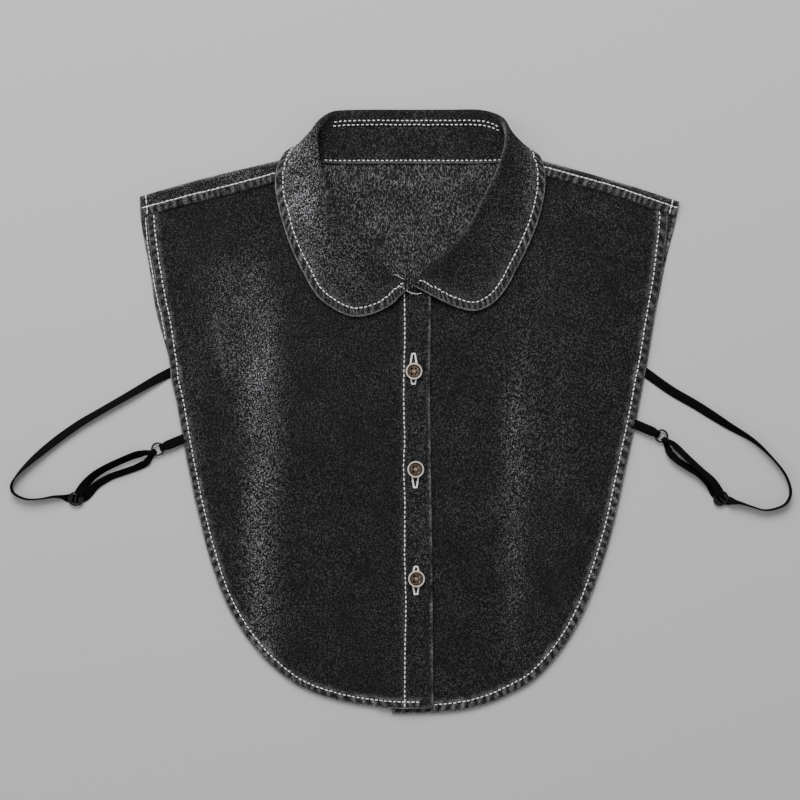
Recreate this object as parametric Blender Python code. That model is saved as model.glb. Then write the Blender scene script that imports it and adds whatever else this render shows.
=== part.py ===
"""Detachable collar: a false shirt front of washed denim with two elastic side straps.

The collar lies flat on its back panel, front up. +X is its left side as worn, +Y points to the
back of the neck, +Z is up. The origin is under the middle of the back panel. Lengths in metres.
"""

import math

import bmesh
import bpy
from mathutils import Vector

MM = 0.001

# Cloth and clearances
CLEARANCE = 0.3 * MM
BACK_THICKNESS = 1.0 * MM
FRONT_THICKNESS = 1.0 * MM
FACING_THICKNESS = 0.8 * MM
STAND_THICKNESS = 1.2 * MM
LEAF_THICKNESS = 1.6 * MM
HEM_FOLD = 1.0 * MM  # extra cloth folded inside a hem
HEM_WIDTH = 4.6 * MM
HEM_STEP = 1.4 * MM
CLOTH_CELL = 24.0 * MM
OUTLINE_STEP = 14.0 * MM

# Body
BODY_WIDTH = 348.0 * MM
BODY_LENGTH = 389.0 * MM  # from the collar's back roll to the bottom hem
TOP_Y = BODY_LENGTH / 2
BACK_EDGE_SHOWS = 3.2 * MM  # width of back panel seen beside the front's upper side edge
YOKE_DEPTH = 12.8 * MM  # how far the back panel folds onto the front
YOKE_TUCK = 5.0 * MM  # front panel held under the yoke

# Side edges from the shoulder down: shares of the body's length and width
SIDE_COLUMNS = ("down", "out")
LEFT_SIDE = (
    (0.144, 0.498),
    (0.249, 0.485),
    (0.348, 0.468),
    (0.448, 0.444),
    (0.547, 0.417),
    (0.647, 0.396),
    (0.746, 0.366),
    (0.812, 0.337),
    (0.879, 0.294),
    (0.945, 0.220),
    (0.978, 0.131),
    (0.989, 0.061),
    (0.990, -0.010),
)
RIGHT_SIDE = (
    (0.153, 0.501),
    (0.249, 0.475),
    (0.348, 0.455),
    (0.448, 0.434),
    (0.547, 0.414),
    (0.647, 0.390),
    (0.746, 0.360),
    (0.812, 0.334),
    (0.879, 0.295),
    (0.945, 0.232),
    (0.978, 0.158),
    (0.993, 0.099),
    (0.998, 0.049),
    (0.999, -0.031),
)
# Where each shoulder fold ends at the neck: shares as above
NECK_ENDS = {"left": (0.078, 0.240), "right": (0.083, 0.2526)}

# Front opening
PLACKET_EDGE = 14.4 * MM  # folded edge, right of the centre line
PLACKET_WIDTH = 17.4 * MM
PLACKET_FOLD = 1.2 * MM
BUTTON_STAND = 25.0 * MM  # how far the right front passes under the left one
FRONT_WAVE = 0.5 * MM
WAVE_PITCH = 62.0 * MM

# Collar
COLLAR_WIDTH = 173.0 * MM
COLLAR_DEPTH = 133.5 * MM
COLLAR_RISE = 15.5 * MM
NECK_SEAM_Y = TOP_Y - 33.5 * MM
STAND_SHARE = 0.68  # share of the way from the neck seam to the roll
STAND_LAP = 4.0 * MM
ROLL_RADIUS = 1.6 * MM
RING_STATIONS = 46
# Three lines round the neck, from the left tip past the back to the right tip.
# turn is the way round; across, along and height are shares of the collar's width, depth and rise.
NECK_COLUMNS = ("turn", "across", "along", "height")
NECK_SEAM = (
    (0.000, -0.018, -0.628, 0.361),
    (0.029, -0.059, -0.652, 0.335),
    (0.059, -0.114, -0.652, 0.252),
    (0.118, -0.230, -0.570, 0.232),
    (0.176, -0.323, -0.401, 0.232),
    (0.235, -0.390, -0.203, 0.258),
    (0.294, -0.428, -0.053, 0.310),
    (0.324, -0.431, -0.005, 0.310),
    (0.353, -0.413, 0.019, 0.284),
    (0.441, -0.264, 0.000, 0.245),
    (0.500, 0.000, 0.000, 0.245),
    (0.559, 0.273, 0.000, 0.245),
    (0.647, 0.430, 0.014, 0.284),
    (0.676, 0.445, -0.019, 0.310),
    (0.706, 0.441, -0.077, 0.310),
    (0.765, 0.393, -0.232, 0.258),
    (0.824, 0.311, -0.416, 0.232),
    (0.882, 0.214, -0.556, 0.232),
    (0.941, 0.109, -0.623, 0.245),
    (1.000, 0.079, -0.638, 0.361),
)
COLLAR_ROLL = (
    (0.000, 0.001, -0.585, 0.387),
    (0.029, -0.036, -0.565, 0.439),
    (0.059, -0.073, -0.531, 0.516),
    (0.118, -0.174, -0.401, 0.677),
    (0.176, -0.252, -0.280, 0.774),
    (0.235, -0.301, -0.121, 0.903),
    (0.294, -0.331, 0.024, 1.000),
    (0.353, -0.331, 0.140, 0.903),
    (0.382, -0.308, 0.188, 0.710),
    (0.412, -0.279, 0.227, 0.516),
    (0.441, -0.237, 0.239, 0.355),
    (0.500, 0.000, 0.244, 0.258),
    (0.559, 0.258, 0.242, 0.355),
    (0.588, 0.318, 0.217, 0.516),
    (0.618, 0.340, 0.174, 0.710),
    (0.647, 0.352, 0.126, 0.903),
    (0.706, 0.340, 0.014, 1.000),
    (0.765, 0.296, -0.130, 0.903),
    (0.824, 0.236, -0.285, 0.774),
    (0.882, 0.150, -0.425, 0.645),
    (0.941, 0.068, -0.527, 0.516),
    (1.000, 0.020, -0.575, 0.452),
)
LEAF_EDGE = (
    (0.000, 0.001, -0.614, 0.542),
    (0.029, -0.029, -0.647, 0.490),
    (0.059, -0.070, -0.696, 0.387),
    (0.088, -0.133, -0.734, 0.271),
    (0.118, -0.204, -0.749, 0.252),
    (0.176, -0.338, -0.652, 0.252),
    (0.235, -0.431, -0.435, 0.258),
    (0.294, -0.487, -0.198, 0.323),
    (0.324, -0.495, -0.101, 0.348),
    (0.353, -0.484, -0.019, 0.335),
    (0.382, -0.446, 0.048, 0.161),
    (0.400, -0.405, 0.024, 0.056),
    (0.441, -0.293, -0.048, 0.056),
    (0.500, 0.000, -0.101, 0.056),
    (0.559, 0.299, -0.048, 0.056),
    (0.600, 0.405, 0.019, 0.056),
    (0.618, 0.471, 0.034, 0.161),
    (0.647, 0.501, -0.029, 0.335),
    (0.676, 0.506, -0.106, 0.348),
    (0.706, 0.497, -0.203, 0.323),
    (0.765, 0.441, -0.416, 0.258),
    (0.824, 0.359, -0.618, 0.252),
    (0.882, 0.251, -0.720, 0.252),
    (0.912, 0.180, -0.705, 0.271),
    (0.941, 0.106, -0.662, 0.387),
    (0.971, 0.042, -0.618, 0.503),
    (1.000, 0.020, -0.602, 0.542),
)
LEAF_TUCK_DEPTH = 17.0 * MM  # how far the leaf reaches under the back panel below the neck seam

# Buttons: down the placket, shares of the body's length
BUTTON_DIAMETER = 11.0 * MM
BUTTON_THICKNESS = 2.4 * MM
BUTTON_RIM = 1.3 * MM
BUTTON_DISH = 0.6 * MM
BUTTON_HOLE = 1.5 * MM
BUTTON_HOLE_SPACING = 2.6 * MM
BUTTON_X = 4.4 * MM
BUTTON_ROWS = {"button_top": 0.4336, "button_middle": 0.5953, "button_bottom": 0.776}

# Straps
STRAP_WIDTH = 6.0 * MM
STRAP_THICKNESS = 1.0 * MM
STRAP_STEP = 6.0 * MM
RING_DIAMETER = 9.0 * MM
RING_WIRE = 1.3 * MM
SLIDER_ACROSS = 9.2 * MM
SLIDER_ALONG = 7.6 * MM
SLIDER_THICKNESS = 1.2 * MM
SLIDER_BAR = 1.2 * MM
SLIDER_SLOT = 1.5 * MM
PIN_RADIUS = RING_WIRE / 2 + 2 * CLEARANCE + STRAP_THICKNESS / 2  # the strap's turn round a ring
PIN_WIDTH = 0.56  # the strap's width there, gathered, as a share
RING_HEIGHT = STRAP_THICKNESS / 2 + PIN_RADIUS
SLIDER_BOTTOM = STRAP_THICKNESS + CLEARANCE
SLIDER_TOP = SLIDER_BOTTOM + SLIDER_THICKNESS
END_HEIGHT = SLIDER_TOP + CLEARANCE + STRAP_THICKNESS / 2

# How far out the side hem is where each strap starts and where its tab is, as shares of the width.
HEM_SHARES = {"left": {"start": 0.445, "tab": 0.4175}, "right": {"start": 0.4375, "tab": 0.42}}

# Each strap's route, points chosen by hand in millimetres: out from the hem at the tab, the first
# point from the hem at the start, and y from the origin, with the height of the strap's middle and
# its turn about its length: 0 lies flat, 90 stands on edge. The slider is at a row of the way out.
ROUTE_COLUMNS = ("out", "y", "height", "turn")
STRAPS = {
    "left": {
        "out": (
            (1.14, 24.0, 0.6, 0),
            (19.01, 19.7, 1.0, 8),
            (37.01, 9.4, 1.4, 16),
            (55.11, -1.0, 1.8, 24),
            (67.41, -8.4, 1.8, 24),
            (82.21, -19.0, 2.1, 30),
            (95.71, -30.0, 2.7, 48),
            (106.31, -40.3, 3.1, 76),
            (110.31, -47.4, 3.2, 90),
            (108.51, -52.9, 3.2, 90),
            (100.71, -56.4, 3.2, 90),
            (91.21, -56.1, 3.2, 88),
            (82.21, -54.4, 2.9, 66),
            (77.21, -55.1, 1.9, 30),
            (74.11, -55.7, 0.6, 0),
            (69.11, -56.3, 0.5, 0),
            (64.31, -55.4, 0.6, 0),
            (61.31, -53.4, 1.1, 10),
            (55.71, -48.8, 1.9, 24),
            (47.31, -43.4, 2.0, 24),
            (39.61, -40.4, 2.0, 24),
            (31.21, -38.2, 1.9, 22),
            (24.31, -34.3, 1.0, 8),
        ),
        "back": (
            (26.21, -28.0, 3.9, 8),
            (33.71, -31.0, 3.9, 20),
            (47.31, -36.6, 3.9, 24),
            (57.01, -43.6, 4.0, 18),
            (62.91, -49.6, 4.0, 8),
            (67.31, -54.4, END_HEIGHT / MM, 0),
        ),
        "ring": (16.21, -24.2),
        "pull": (0.79, 0.61),
        "slider_row": 15,
        "slider_heading": 12.0,
        "tab": ((1.01, -18.0), (8.71, -21.2)),
    },
    "right": {
        "out": (
            (1.25, 23.7, 0.6, 0),
            (21.44, 11.6, 1.0, 8),
            (37.24, 2.9, 1.3, 14),
            (48.84, -3.6, 1.8, 24),
            (60.44, -10.0, 2.6, 45),
            (75.94, -19.0, 3.1, 72),
            (87.84, -30.0, 3.2, 90),
            (95.94, -40.3, 3.2, 90),
            (99.44, -50.0, 3.2, 90),
            (98.44, -56.4, 3.2, 90),
            (93.94, -61.0, 3.2, 90),
            (83.94, -63.5, 3.2, 90),
            (75.94, -61.6, 3.2, 88),
            (68.14, -59.0, 2.9, 66),
            (62.84, -58.0, 1.9, 30),
            (59.64, -57.4, 0.6, 0),
            (54.84, -56.0, 0.5, 0),
            (51.24, -52.6, 0.6, 0),
            (49.44, -49.6, 1.1, 10),
            (47.04, -46.4, 1.9, 24),
            (41.34, -41.2, 2.0, 24),
            (34.84, -37.6, 2.0, 24),
            (28.84, -34.6, 1.9, 20),
            (23.64, -29.9, 1.0, 8),
        ),
        "back": (
            (23.84, -22.6, 3.9, 8),
            (29.84, -26.6, 3.9, 18),
            (36.44, -31.6, 3.9, 24),
            (43.44, -38.2, 4.0, 24),
            (49.24, -45.4, 4.0, 16),
            (54.24, -54.6, END_HEIGHT / MM, 0),
        ),
        "ring": (16.54, -15.8),
        "pull": (-0.62, 0.78),
        "slider_row": 16,
        "slider_heading": 135.0,
        "tab": ((0.84, -8.7), (9.34, -12.3)),
    },
}

# Colours
DENIM = (0.018, 0.019, 0.021)
DENIM_INSIDE = (0.055, 0.055, 0.058)
ELASTIC = (0.008, 0.008, 0.009)
BLACK_METAL = (0.012, 0.012, 0.013)
BUTTON_HORN = (0.17, 0.12, 0.09)


def clear_scene():
    for item in list(bpy.data.objects):
        bpy.data.objects.remove(item, do_unlink=True)


def material(name, colour, roughness, metallic=0.0):
    found = bpy.data.materials.get(name)
    if found:
        return found
    made = bpy.data.materials.new(name)
    made.use_nodes = True
    shader = made.node_tree.nodes["Principled BSDF"]
    shader.inputs["Base Color"].default_value = (*colour, 1.0)
    shader.inputs["Roughness"].default_value = roughness
    shader.inputs["Metallic"].default_value = metallic
    return made


def add_object(name, bm, surface, smooth=True):
    bmesh.ops.recalc_face_normals(bm, faces=bm.faces[:])
    bmesh.ops.triangulate(bm, faces=bm.faces[:])
    if bm.calc_volume(signed=True) < 0:
        bmesh.ops.reverse_faces(bm, faces=bm.faces[:])
    mesh = bpy.data.meshes.new(name)
    bm.to_mesh(mesh)
    bm.free()
    for face in mesh.polygons:
        face.use_smooth = smooth
    mesh.materials.append(surface)
    made = bpy.data.objects.new(name, mesh)
    bpy.context.scene.collection.objects.link(made)
    return made


# Curves and steps
def ease(value, low, high):
    """0 below low, 1 above high, smooth between."""
    share = min(1.0, max(0.0, (value - low) / (high - low)))
    return share * share * (3 - 2 * share)


def through(points, step):
    """A smooth line through points, sampled about a step apart."""
    line = []
    for i in range(len(points) - 1):
        before = points[max(i - 1, 0)]
        start = points[i]
        end = points[i + 1]
        after = points[min(i + 2, len(points) - 1)]
        count = max(1, round((end - start).length / step))
        for k in range(count):
            t = k / count
            line.append(
                0.5
                * (
                    2 * start
                    + (end - before) * t
                    + (2 * before - 5 * start + 4 * end - after) * t**2
                    + (3 * start - before - 3 * end + after) * t**3
                )
            )
    line.append(points[-1].copy())
    return line


def side_points(rows, sign):
    return [Vector((sign * out * BODY_WIDTH, TOP_Y - down * BODY_LENGTH)) for down, out in rows]


def distance_to(line, x, y):
    """Distance from a point to an open line of 2-D points."""
    point = Vector((x, y))
    nearest = 1.0
    for a, b in zip(line, line[1:]):
        along = b - a
        share = (point - a).dot(along) / max(along.length_squared, 1e-12)
        foot = a + along * min(1.0, max(0.0, share))
        nearest = min(nearest, (point - foot).length)
    return nearest


def drawn_in(line, upper, lower):
    """A side line moved towards the middle: by upper near the shoulder, by lower further down."""
    moved = []
    for point in line:
        share = ease(TOP_Y - point.y, 0.36 * BODY_LENGTH, 0.44 * BODY_LENGTH)
        width = upper * (1 - share) + lower * share
        rise = width * ease(TOP_Y - point.y, 0.8 * BODY_LENGTH, 0.97 * BODY_LENGTH)
        side = math.copysign(1.0, point.x) * ease(abs(point.x), 0.0, 0.3 * BODY_WIDTH)
        moved.append(Vector((point.x - side * width, point.y + rise)))
    return moved


LEFT_LINE = through(side_points(LEFT_SIDE, -1), OUTLINE_STEP)
RIGHT_LINE = through(side_points(RIGHT_SIDE, 1), OUTLINE_STEP)
FRONT_LEFT_LINE = drawn_in(LEFT_LINE, BACK_EDGE_SHOWS, 0.0)
FRONT_RIGHT_LINE = drawn_in(RIGHT_LINE, BACK_EDGE_SHOWS, 0.0)


# Neck lines
def neck_value(rows, turn, column):
    """One column of a neck table at a share of the way round, as a smooth curve."""
    last = len(rows) - 1
    i = max(k for k in range(last) if rows[k][0] <= turn + 1e-9)
    low, high = rows[i], rows[i + 1]
    before, after = rows[max(i - 1, 0)], rows[min(i + 2, last)]
    span = high[0] - low[0]
    t = (turn - low[0]) / span
    rate_in = (high[column] - before[column]) / (high[0] - before[0]) * span
    rate_out = (after[column] - low[column]) / (after[0] - low[0]) * span
    step = high[column] - low[column]
    square = 3 * step - 2 * rate_in - rate_out
    cube = rate_in + rate_out - 2 * step
    return low[column] + t * (rate_in + t * (square + t * cube))


def neck_point(rows, turn):
    return Vector(
        (
            neck_value(rows, turn, 1) * COLLAR_WIDTH,
            NECK_SEAM_Y + neck_value(rows, turn, 2) * COLLAR_DEPTH,
            neck_value(rows, turn, 3) * COLLAR_RISE,
        )
    )


def neck_edge(first, last, count):
    """The neck edge of a panel: the seam line moved under the stand by its lap."""
    line = []
    for k in range(count + 1):
        turn = first + (last - first) * k / count
        seam = neck_point(NECK_SEAM, turn)
        inward = (neck_point(COLLAR_ROLL, turn) - seam).to_2d()
        line.append(seam.to_2d() + inward.normalized() * STAND_LAP)
    return line


# Cloth panels
def cloth(name, outline, bottom, top, surface, shape=None, folds=()):
    """A panel cut from an outline, with a hem band and a grid, given its two faces' heights."""
    bm = bmesh.new()
    face = bm.faces.new([bm.verts.new((point.x, point.y, 0)) for point in outline])
    bmesh.ops.recalc_face_normals(bm, faces=[face])
    for width in (HEM_WIDTH, HEM_STEP):
        bmesh.ops.inset_region(bm, faces=[face], thickness=width, use_even_offset=True, use_boundary=True)
    face.material_index = 1
    low = Vector((min(p.x for p in outline), min(p.y for p in outline)))
    high = Vector((max(p.x for p in outline), max(p.y for p in outline)))
    for axis in (0, 1):
        count = max(1, round((high[axis] - low[axis]) / CLOTH_CELL))
        for k in range(1, count):
            at = Vector((0, 0, 0))
            at[axis] = low[axis] + (high[axis] - low[axis]) * k / count
            normal = Vector((0, 0, 0))
            normal[axis] = 1
            cut(bm, at, normal, lambda item: item.material_index == 1)
    for at, normal, beyond in folds:
        cut(bm, at.to_3d(), normal.to_3d(), beyond)
    for item in bm.faces:
        item.material_index = 0
    lower = list(bm.verts)
    raised = bmesh.ops.extrude_face_region(bm, geom=bm.faces[:], use_keep_orig=True)
    upper = [item for item in raised["geom"] if isinstance(item, bmesh.types.BMVert)]
    for vert in lower:
        vert.co.z = bottom(vert.co.x, vert.co.y)
    for vert in upper:
        vert.co.z = top(vert.co.x, vert.co.y)
    if shape:
        for vert in bm.verts:
            vert.co = shape(vert.co)
    return add_object(name, bm, surface)


def cut(bm, at, normal, wanted):
    faces = [face for face in bm.faces if wanted(face)]
    edges = {edge for face in faces for edge in face.edges}
    verts = {vert for face in faces for vert in face.verts}
    bmesh.ops.bisect_plane(bm, geom=faces + list(edges) + list(verts), plane_co=at, plane_no=normal)


# Back panel: rises over the collar's tucked leaf, and folds over both shoulders
YOKE_RADIUS = (BACK_THICKNESS + FRONT_THICKNESS) / 2 + CLEARANCE
LEAF_ROOM = LEAF_THICKNESS + 1.4 * CLEARANCE


def shoulder(side):
    """The shoulder fold: its outer end, its neck end and the direction out of the panel."""
    sign = -1 if side == "left" else 1
    tip = (LEFT_LINE if side == "left" else RIGHT_LINE)[0]
    down, out = NECK_ENDS[side]
    neck = Vector((sign * out * BODY_WIDTH, TOP_Y - down * BODY_LENGTH))
    along = (neck - tip).normalized()
    outward = Vector((-along.y, along.x)) * -sign
    drop = YOKE_RADIUS + BACK_THICKNESS / 2
    return tip - outward * drop, neck - outward * drop, outward


def clear_of_yoke(x, y):
    """0 under the yoke, where no cloth is doubled, 1 well below it."""
    tip, _, outward = shoulder("left" if x < 0 else "right")
    depth = (tip - Vector((x, y))).dot(outward)
    return ease(depth, YOKE_DEPTH + 1 * MM, YOKE_DEPTH + 11 * MM)


def back_bottom(x, y):
    inset = 1 * MM + max(0.0, NECK_SEAM_Y + 6 * MM - y) * 1.2
    left = shoulder("left")[1].x + inset
    right = shoulder("right")[1].x - inset
    across = ease(x, left, left + 8 * MM) * (1 - ease(x, right - 8 * MM, right))
    down = ease(NECK_SEAM_Y - LEAF_TUCK_DEPTH - y, 0, 12 * MM)
    return LEAF_ROOM * across * (1 - down)


def build_back_panel(surface):
    left_tip, left_neck, left_out = shoulder("left")
    right_tip, right_neck, right_out = shoulder("right")
    wrap = math.pi * YOKE_RADIUS + YOKE_DEPTH - YOKE_RADIUS
    left_side = drawn_in(LEFT_LINE, 0.0, 1.6 * MM)[1:]
    right_side = drawn_in(RIGHT_LINE, 0.0, 1.6 * MM)[1:]
    hem = [point for point in left_side if point.x < -5 * MM]
    hem += [point for point in right_side[::-1] if point.x > 5 * MM]
    neckline = neck_edge(0.37, 0.63, 12)
    outline = [left_tip, left_tip + left_out * wrap]
    outline += [left_neck + left_out * wrap]
    outline += through([left_neck, neckline[0]], 4 * MM)[:-1]
    outline += neckline
    outline += through([neckline[-1], right_neck], 4 * MM)[1:]
    outline += [right_neck + right_out * wrap]
    outline += [right_tip + right_out * wrap, right_tip]
    outline += hem[::-1]

    def beyond(point, side):
        tip, _, outward = shoulder(side)
        if (point.x < 0) != (side == "left"):
            return -1.0
        if abs(point.x) < abs(shoulder(side)[1].x) - 4 * MM:
            return -1.0
        return (point.to_2d() - tip).dot(outward)

    folds = []
    for side in ("left", "right"):
        tip, _, outward = shoulder(side)
        for share in (0, 0.33, 0.67, 1.0):
            reach = share * math.pi * YOKE_RADIUS

            def near(face, side=side):
                return max(beyond(v.co, side) for v in face.verts) > -0.1 * MM

            folds.append((tip + outward * reach, outward, near))

    def by_neck(face):
        high = min(v.co.y for v in face.verts) > NECK_SEAM_Y - 60 * MM
        return high and abs(face.calc_center_median().x) < left_neck.length

    for k in range(-6, 7):
        folds.append((Vector((k * 12.5 * MM, 0)), Vector((1, 0)), by_neck))
    for k in range(4):
        level = NECK_SEAM_Y - LEAF_TUCK_DEPTH - (12 - 7 * k) * MM
        folds.append((Vector((0, level)), Vector((0, 1)), by_neck))

    def top(x, y):
        return back_bottom(x, y) + BACK_THICKNESS

    def fold(point):
        for side in ("left", "right"):
            reach = beyond(point, side)
            if reach > 0:
                outward = shoulder(side)[2]
                radius = YOKE_RADIUS + BACK_THICKNESS / 2 - point.z
                turn = min(reach / YOKE_RADIUS, math.pi)
                middle = YOKE_RADIUS + BACK_THICKNESS / 2
                straight = max(0.0, reach - math.pi * YOKE_RADIUS)
                foot = point.to_2d() - outward * reach
                spot = foot + outward * (radius * math.sin(turn) - straight)
                return Vector((spot.x, spot.y, middle - radius * math.cos(turn)))
        return point

    return cloth("back_panel", outline, back_bottom, top, surface, fold, folds)


# Fronts: lie on the back panel, rise over its hem and over each other at the placket
def front_bottom(line, x, y):
    edge = distance_to(line, x, y)
    inside = ease(edge, 14 * MM, 40 * MM) * ease(0.42 * BODY_LENGTH - y, 0, 0.2 * BODY_LENGTH)
    wave = 0.5 + 0.5 * math.sin(x / WAVE_PITCH * 6.0) * math.sin(y / WAVE_PITCH * 2.4 + 1)
    return BACK_THICKNESS + CLEARANCE + FRONT_WAVE * inside * wave


def front_hem(line, x, y, spare=0.0):
    """Extra cloth in the hem, and over a band wider by spare where another panel crosses it."""
    band = 1 - ease(distance_to(line, x, y), HEM_WIDTH + spare, HEM_WIDTH + 0.8 * HEM_STEP + spare)
    return HEM_FOLD * band * clear_of_yoke(x, y)


def right_bottom(x, y):
    flat = BACK_THICKNESS + CLEARANCE
    return flat + (front_bottom(FRONT_RIGHT_LINE, x, y) - flat) * ease(x, PLACKET_EDGE, 3 * PLACKET_EDGE)


def right_top(x, y):
    return right_bottom(x, y) + FRONT_THICKNESS + front_hem(FRONT_RIGHT_LINE, x, y)


STAND_EDGE = PLACKET_EDGE - BUTTON_STAND
PLACKET_SEAM = PLACKET_EDGE - PLACKET_WIDTH


def facing_bottom(x, y):
    return right_bottom(x, y) + FRONT_THICKNESS + front_hem(FRONT_RIGHT_LINE, x, y, 6 * MM) + CLEARANCE


def facing_top(x, y):
    return facing_bottom(x, y) + FACING_THICKNESS


def left_level(x, y, folded):
    """The left front's underside; where folded it comes down round the facing's edge."""
    base = front_bottom(FRONT_LEFT_LINE, x, y)
    over_stand = ease(x, STAND_EDGE - 16 * MM, STAND_EDGE - 1 * MM)
    over_facing = ease(x, PLACKET_SEAM - 6 * MM, PLACKET_SEAM - 0.6 * MM)
    if folded:
        over_facing *= 1 - ease(x, PLACKET_EDGE - PLACKET_FOLD, PLACKET_EDGE - 0.5 * PLACKET_FOLD)
    level = base + (facing_bottom(x, y) - base) * over_stand
    return level + (FACING_THICKNESS + CLEARANCE) * over_facing


def left_bottom(x, y):
    return left_level(x, y, True)


def left_top(x, y):
    return left_level(x, y, False) + FRONT_THICKNESS + front_hem(FRONT_LEFT_LINE, x, y)


def yoke_tuck(side):
    """The front panel's top edge, held under the yoke."""
    tip, neck, outward = shoulder(side)
    depth = YOKE_DEPTH - YOKE_RADIUS - YOKE_TUCK
    along = (neck - tip).normalized()
    return tip - outward * depth + along * 2.0 * BACK_EDGE_SHOWS, neck - outward * depth


NECK_CORNER_Y = NECK_SEAM_Y - 0.61 * COLLAR_DEPTH


def build_front_left(surface):
    start, end = yoke_tuck("left")
    side = [point for point in FRONT_LEFT_LINE if point.y < start.y - 2 * MM]
    outline = [start] + side
    outline.append(Vector((PLACKET_EDGE, side[-1].y)))
    outline += through(
        [Vector((PLACKET_EDGE, side[-1].y + 3 * HEM_WIDTH)), Vector((PLACKET_EDGE, NECK_CORNER_Y))],
        2 * CLOTH_CELL,
    )
    outline += neck_edge(0.02, 0.28, 10)
    outline.append(end)
    steps = (
        STAND_EDGE - 16 * MM,
        STAND_EDGE - 1 * MM,
        PLACKET_SEAM - 6 * MM,
        PLACKET_SEAM - 0.6 * MM,
        PLACKET_EDGE - PLACKET_FOLD,
        PLACKET_EDGE - 0.5 * PLACKET_FOLD,
    )
    folds = [(Vector((x, 0)), Vector((1, 0)), lambda face: True) for x in steps]
    return cloth("front_left", outline, left_bottom, left_top, surface, folds=folds)


def build_front_right(surface):
    start, end = yoke_tuck("right")
    side = [point for point in FRONT_RIGHT_LINE if point.y < start.y - 2 * MM]
    outline = [start] + [point for point in side if point.x > STAND_EDGE + 4 * MM]
    outline.append(Vector((STAND_EDGE, side[-1].y)))
    outline += through(
        [Vector((STAND_EDGE, side[-1].y + 3 * HEM_WIDTH)), Vector((STAND_EDGE, NECK_CORNER_Y))],
        2 * CLOTH_CELL,
    )
    outline += neck_edge(0.96, 0.73, 10)
    outline.append(end)
    return cloth("front_right", outline, right_bottom, right_top, surface)


def build_placket(surface):
    low = FRONT_LEFT_LINE[-1].y + 2 * HEM_WIDTH
    right = PLACKET_EDGE - PLACKET_FOLD - CLEARANCE
    outline = [
        Vector((PLACKET_SEAM, low)),
        Vector((right, low)),
        Vector((right, NECK_CORNER_Y - CLEARANCE)),
        Vector((PLACKET_SEAM, NECK_CORNER_Y - CLEARANCE)),
    ]
    return cloth("placket", outline, facing_bottom, facing_top, surface)


# Collar: the stand rises from the neck seam, the leaf rolls over it and falls outwards
def walled(bm, sections, thickness):
    """A closed wall round the middle lines of sections, each a list of points and normals."""
    rings = []
    for points, normals in sections:
        half = [thickness / 2 * n for n in normals]
        outer = [p + h for p, h in zip(points, half)]
        inner = [p - h for p, h in zip(points, half)]
        rings.append([bm.verts.new(p) for p in outer + inner[::-1]])
    for a, b in zip(rings, rings[1:]):
        for k in range(len(a)):
            bm.faces.new((a[k], a[(k + 1) % len(a)], b[(k + 1) % len(a)], b[k]))
    for ring in (rings[0][::-1], rings[-1]):
        half = len(ring) // 2
        for k in range(half - 1):
            bm.faces.new((ring[k], ring[k + 1], ring[-k - 2], ring[-k - 1]))


def neck_frame(turn):
    """Seam and roll at a station, the way up the stand and the way out of the neck."""
    seam = neck_point(NECK_SEAM, turn)
    roll = neck_point(COLLAR_ROLL, turn)
    up = (roll - seam).normalized()
    ahead = neck_point(COLLAR_ROLL, min(1.0, turn + 0.02)) - neck_point(COLLAR_ROLL, max(0.0, turn - 0.02))
    out = up.cross(ahead).normalized()
    return seam, roll, up, out


def section_normals(points, round_axis):
    normals = []
    for k in range(len(points)):
        heading = points[min(k + 1, len(points) - 1)] - points[max(k - 1, 0)]
        normals.append(round_axis.cross(heading).normalized())
    return normals


def stand_section(turn):
    seam, roll, up, out = neck_frame(turn)
    reach = (roll - seam).length * STAND_SHARE
    points = [seam + up * reach * share for share in (0, 0.5, 1)]
    return points, section_normals(points, up.cross(out))


def leaf_section(turn):
    seam, roll, up, out = neck_frame(turn)
    start = (roll - seam).length * STAND_SHARE + 1.5 * CLEARANCE
    reach = (roll - seam).length - ROLL_RADIUS
    points = [seam + up * (start + (reach - start) * share) for share in (0, 0.5)]
    centre = seam + up * reach + out * ROLL_RADIUS
    for k in range(5):
        angle = math.pi * k / 4
        points.append(centre + (up * math.sin(angle) - out * math.cos(angle)) * ROLL_RADIUS)
    edge = neck_point(LEAF_EDGE, turn)
    fall = (edge - points[-1]).length
    bend = points[-1] - up * 0.42 * fall
    bend.z += (edge.z - bend.z) * (1 - ease(edge.z, 1 * MM, 4 * MM))
    first = points[-1].copy()
    for k in range(1, 6):
        t = k / 5
        points.append(first * (1 - t) ** 2 + bend * 2 * t * (1 - t) + edge * t**2)
    return points, section_normals(points, up.cross(out))


def build_stand(surface):
    bm = bmesh.new()
    count = round(RING_STATIONS * 0.93)
    walled(bm, [stand_section(0.0 + 0.945 * k / count) for k in range(count + 1)], STAND_THICKNESS)
    return add_object("collar_stand", bm, surface)


def build_leaf(surface):
    bm = bmesh.new()
    walled(bm, [leaf_section(k / RING_STATIONS) for k in range(RING_STATIONS + 1)], LEAF_THICKNESS)
    for vert in bm.verts:
        vert.co.z = max(vert.co.z, 0.0)
    return add_object("collar_leaf", bm, surface)


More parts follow.
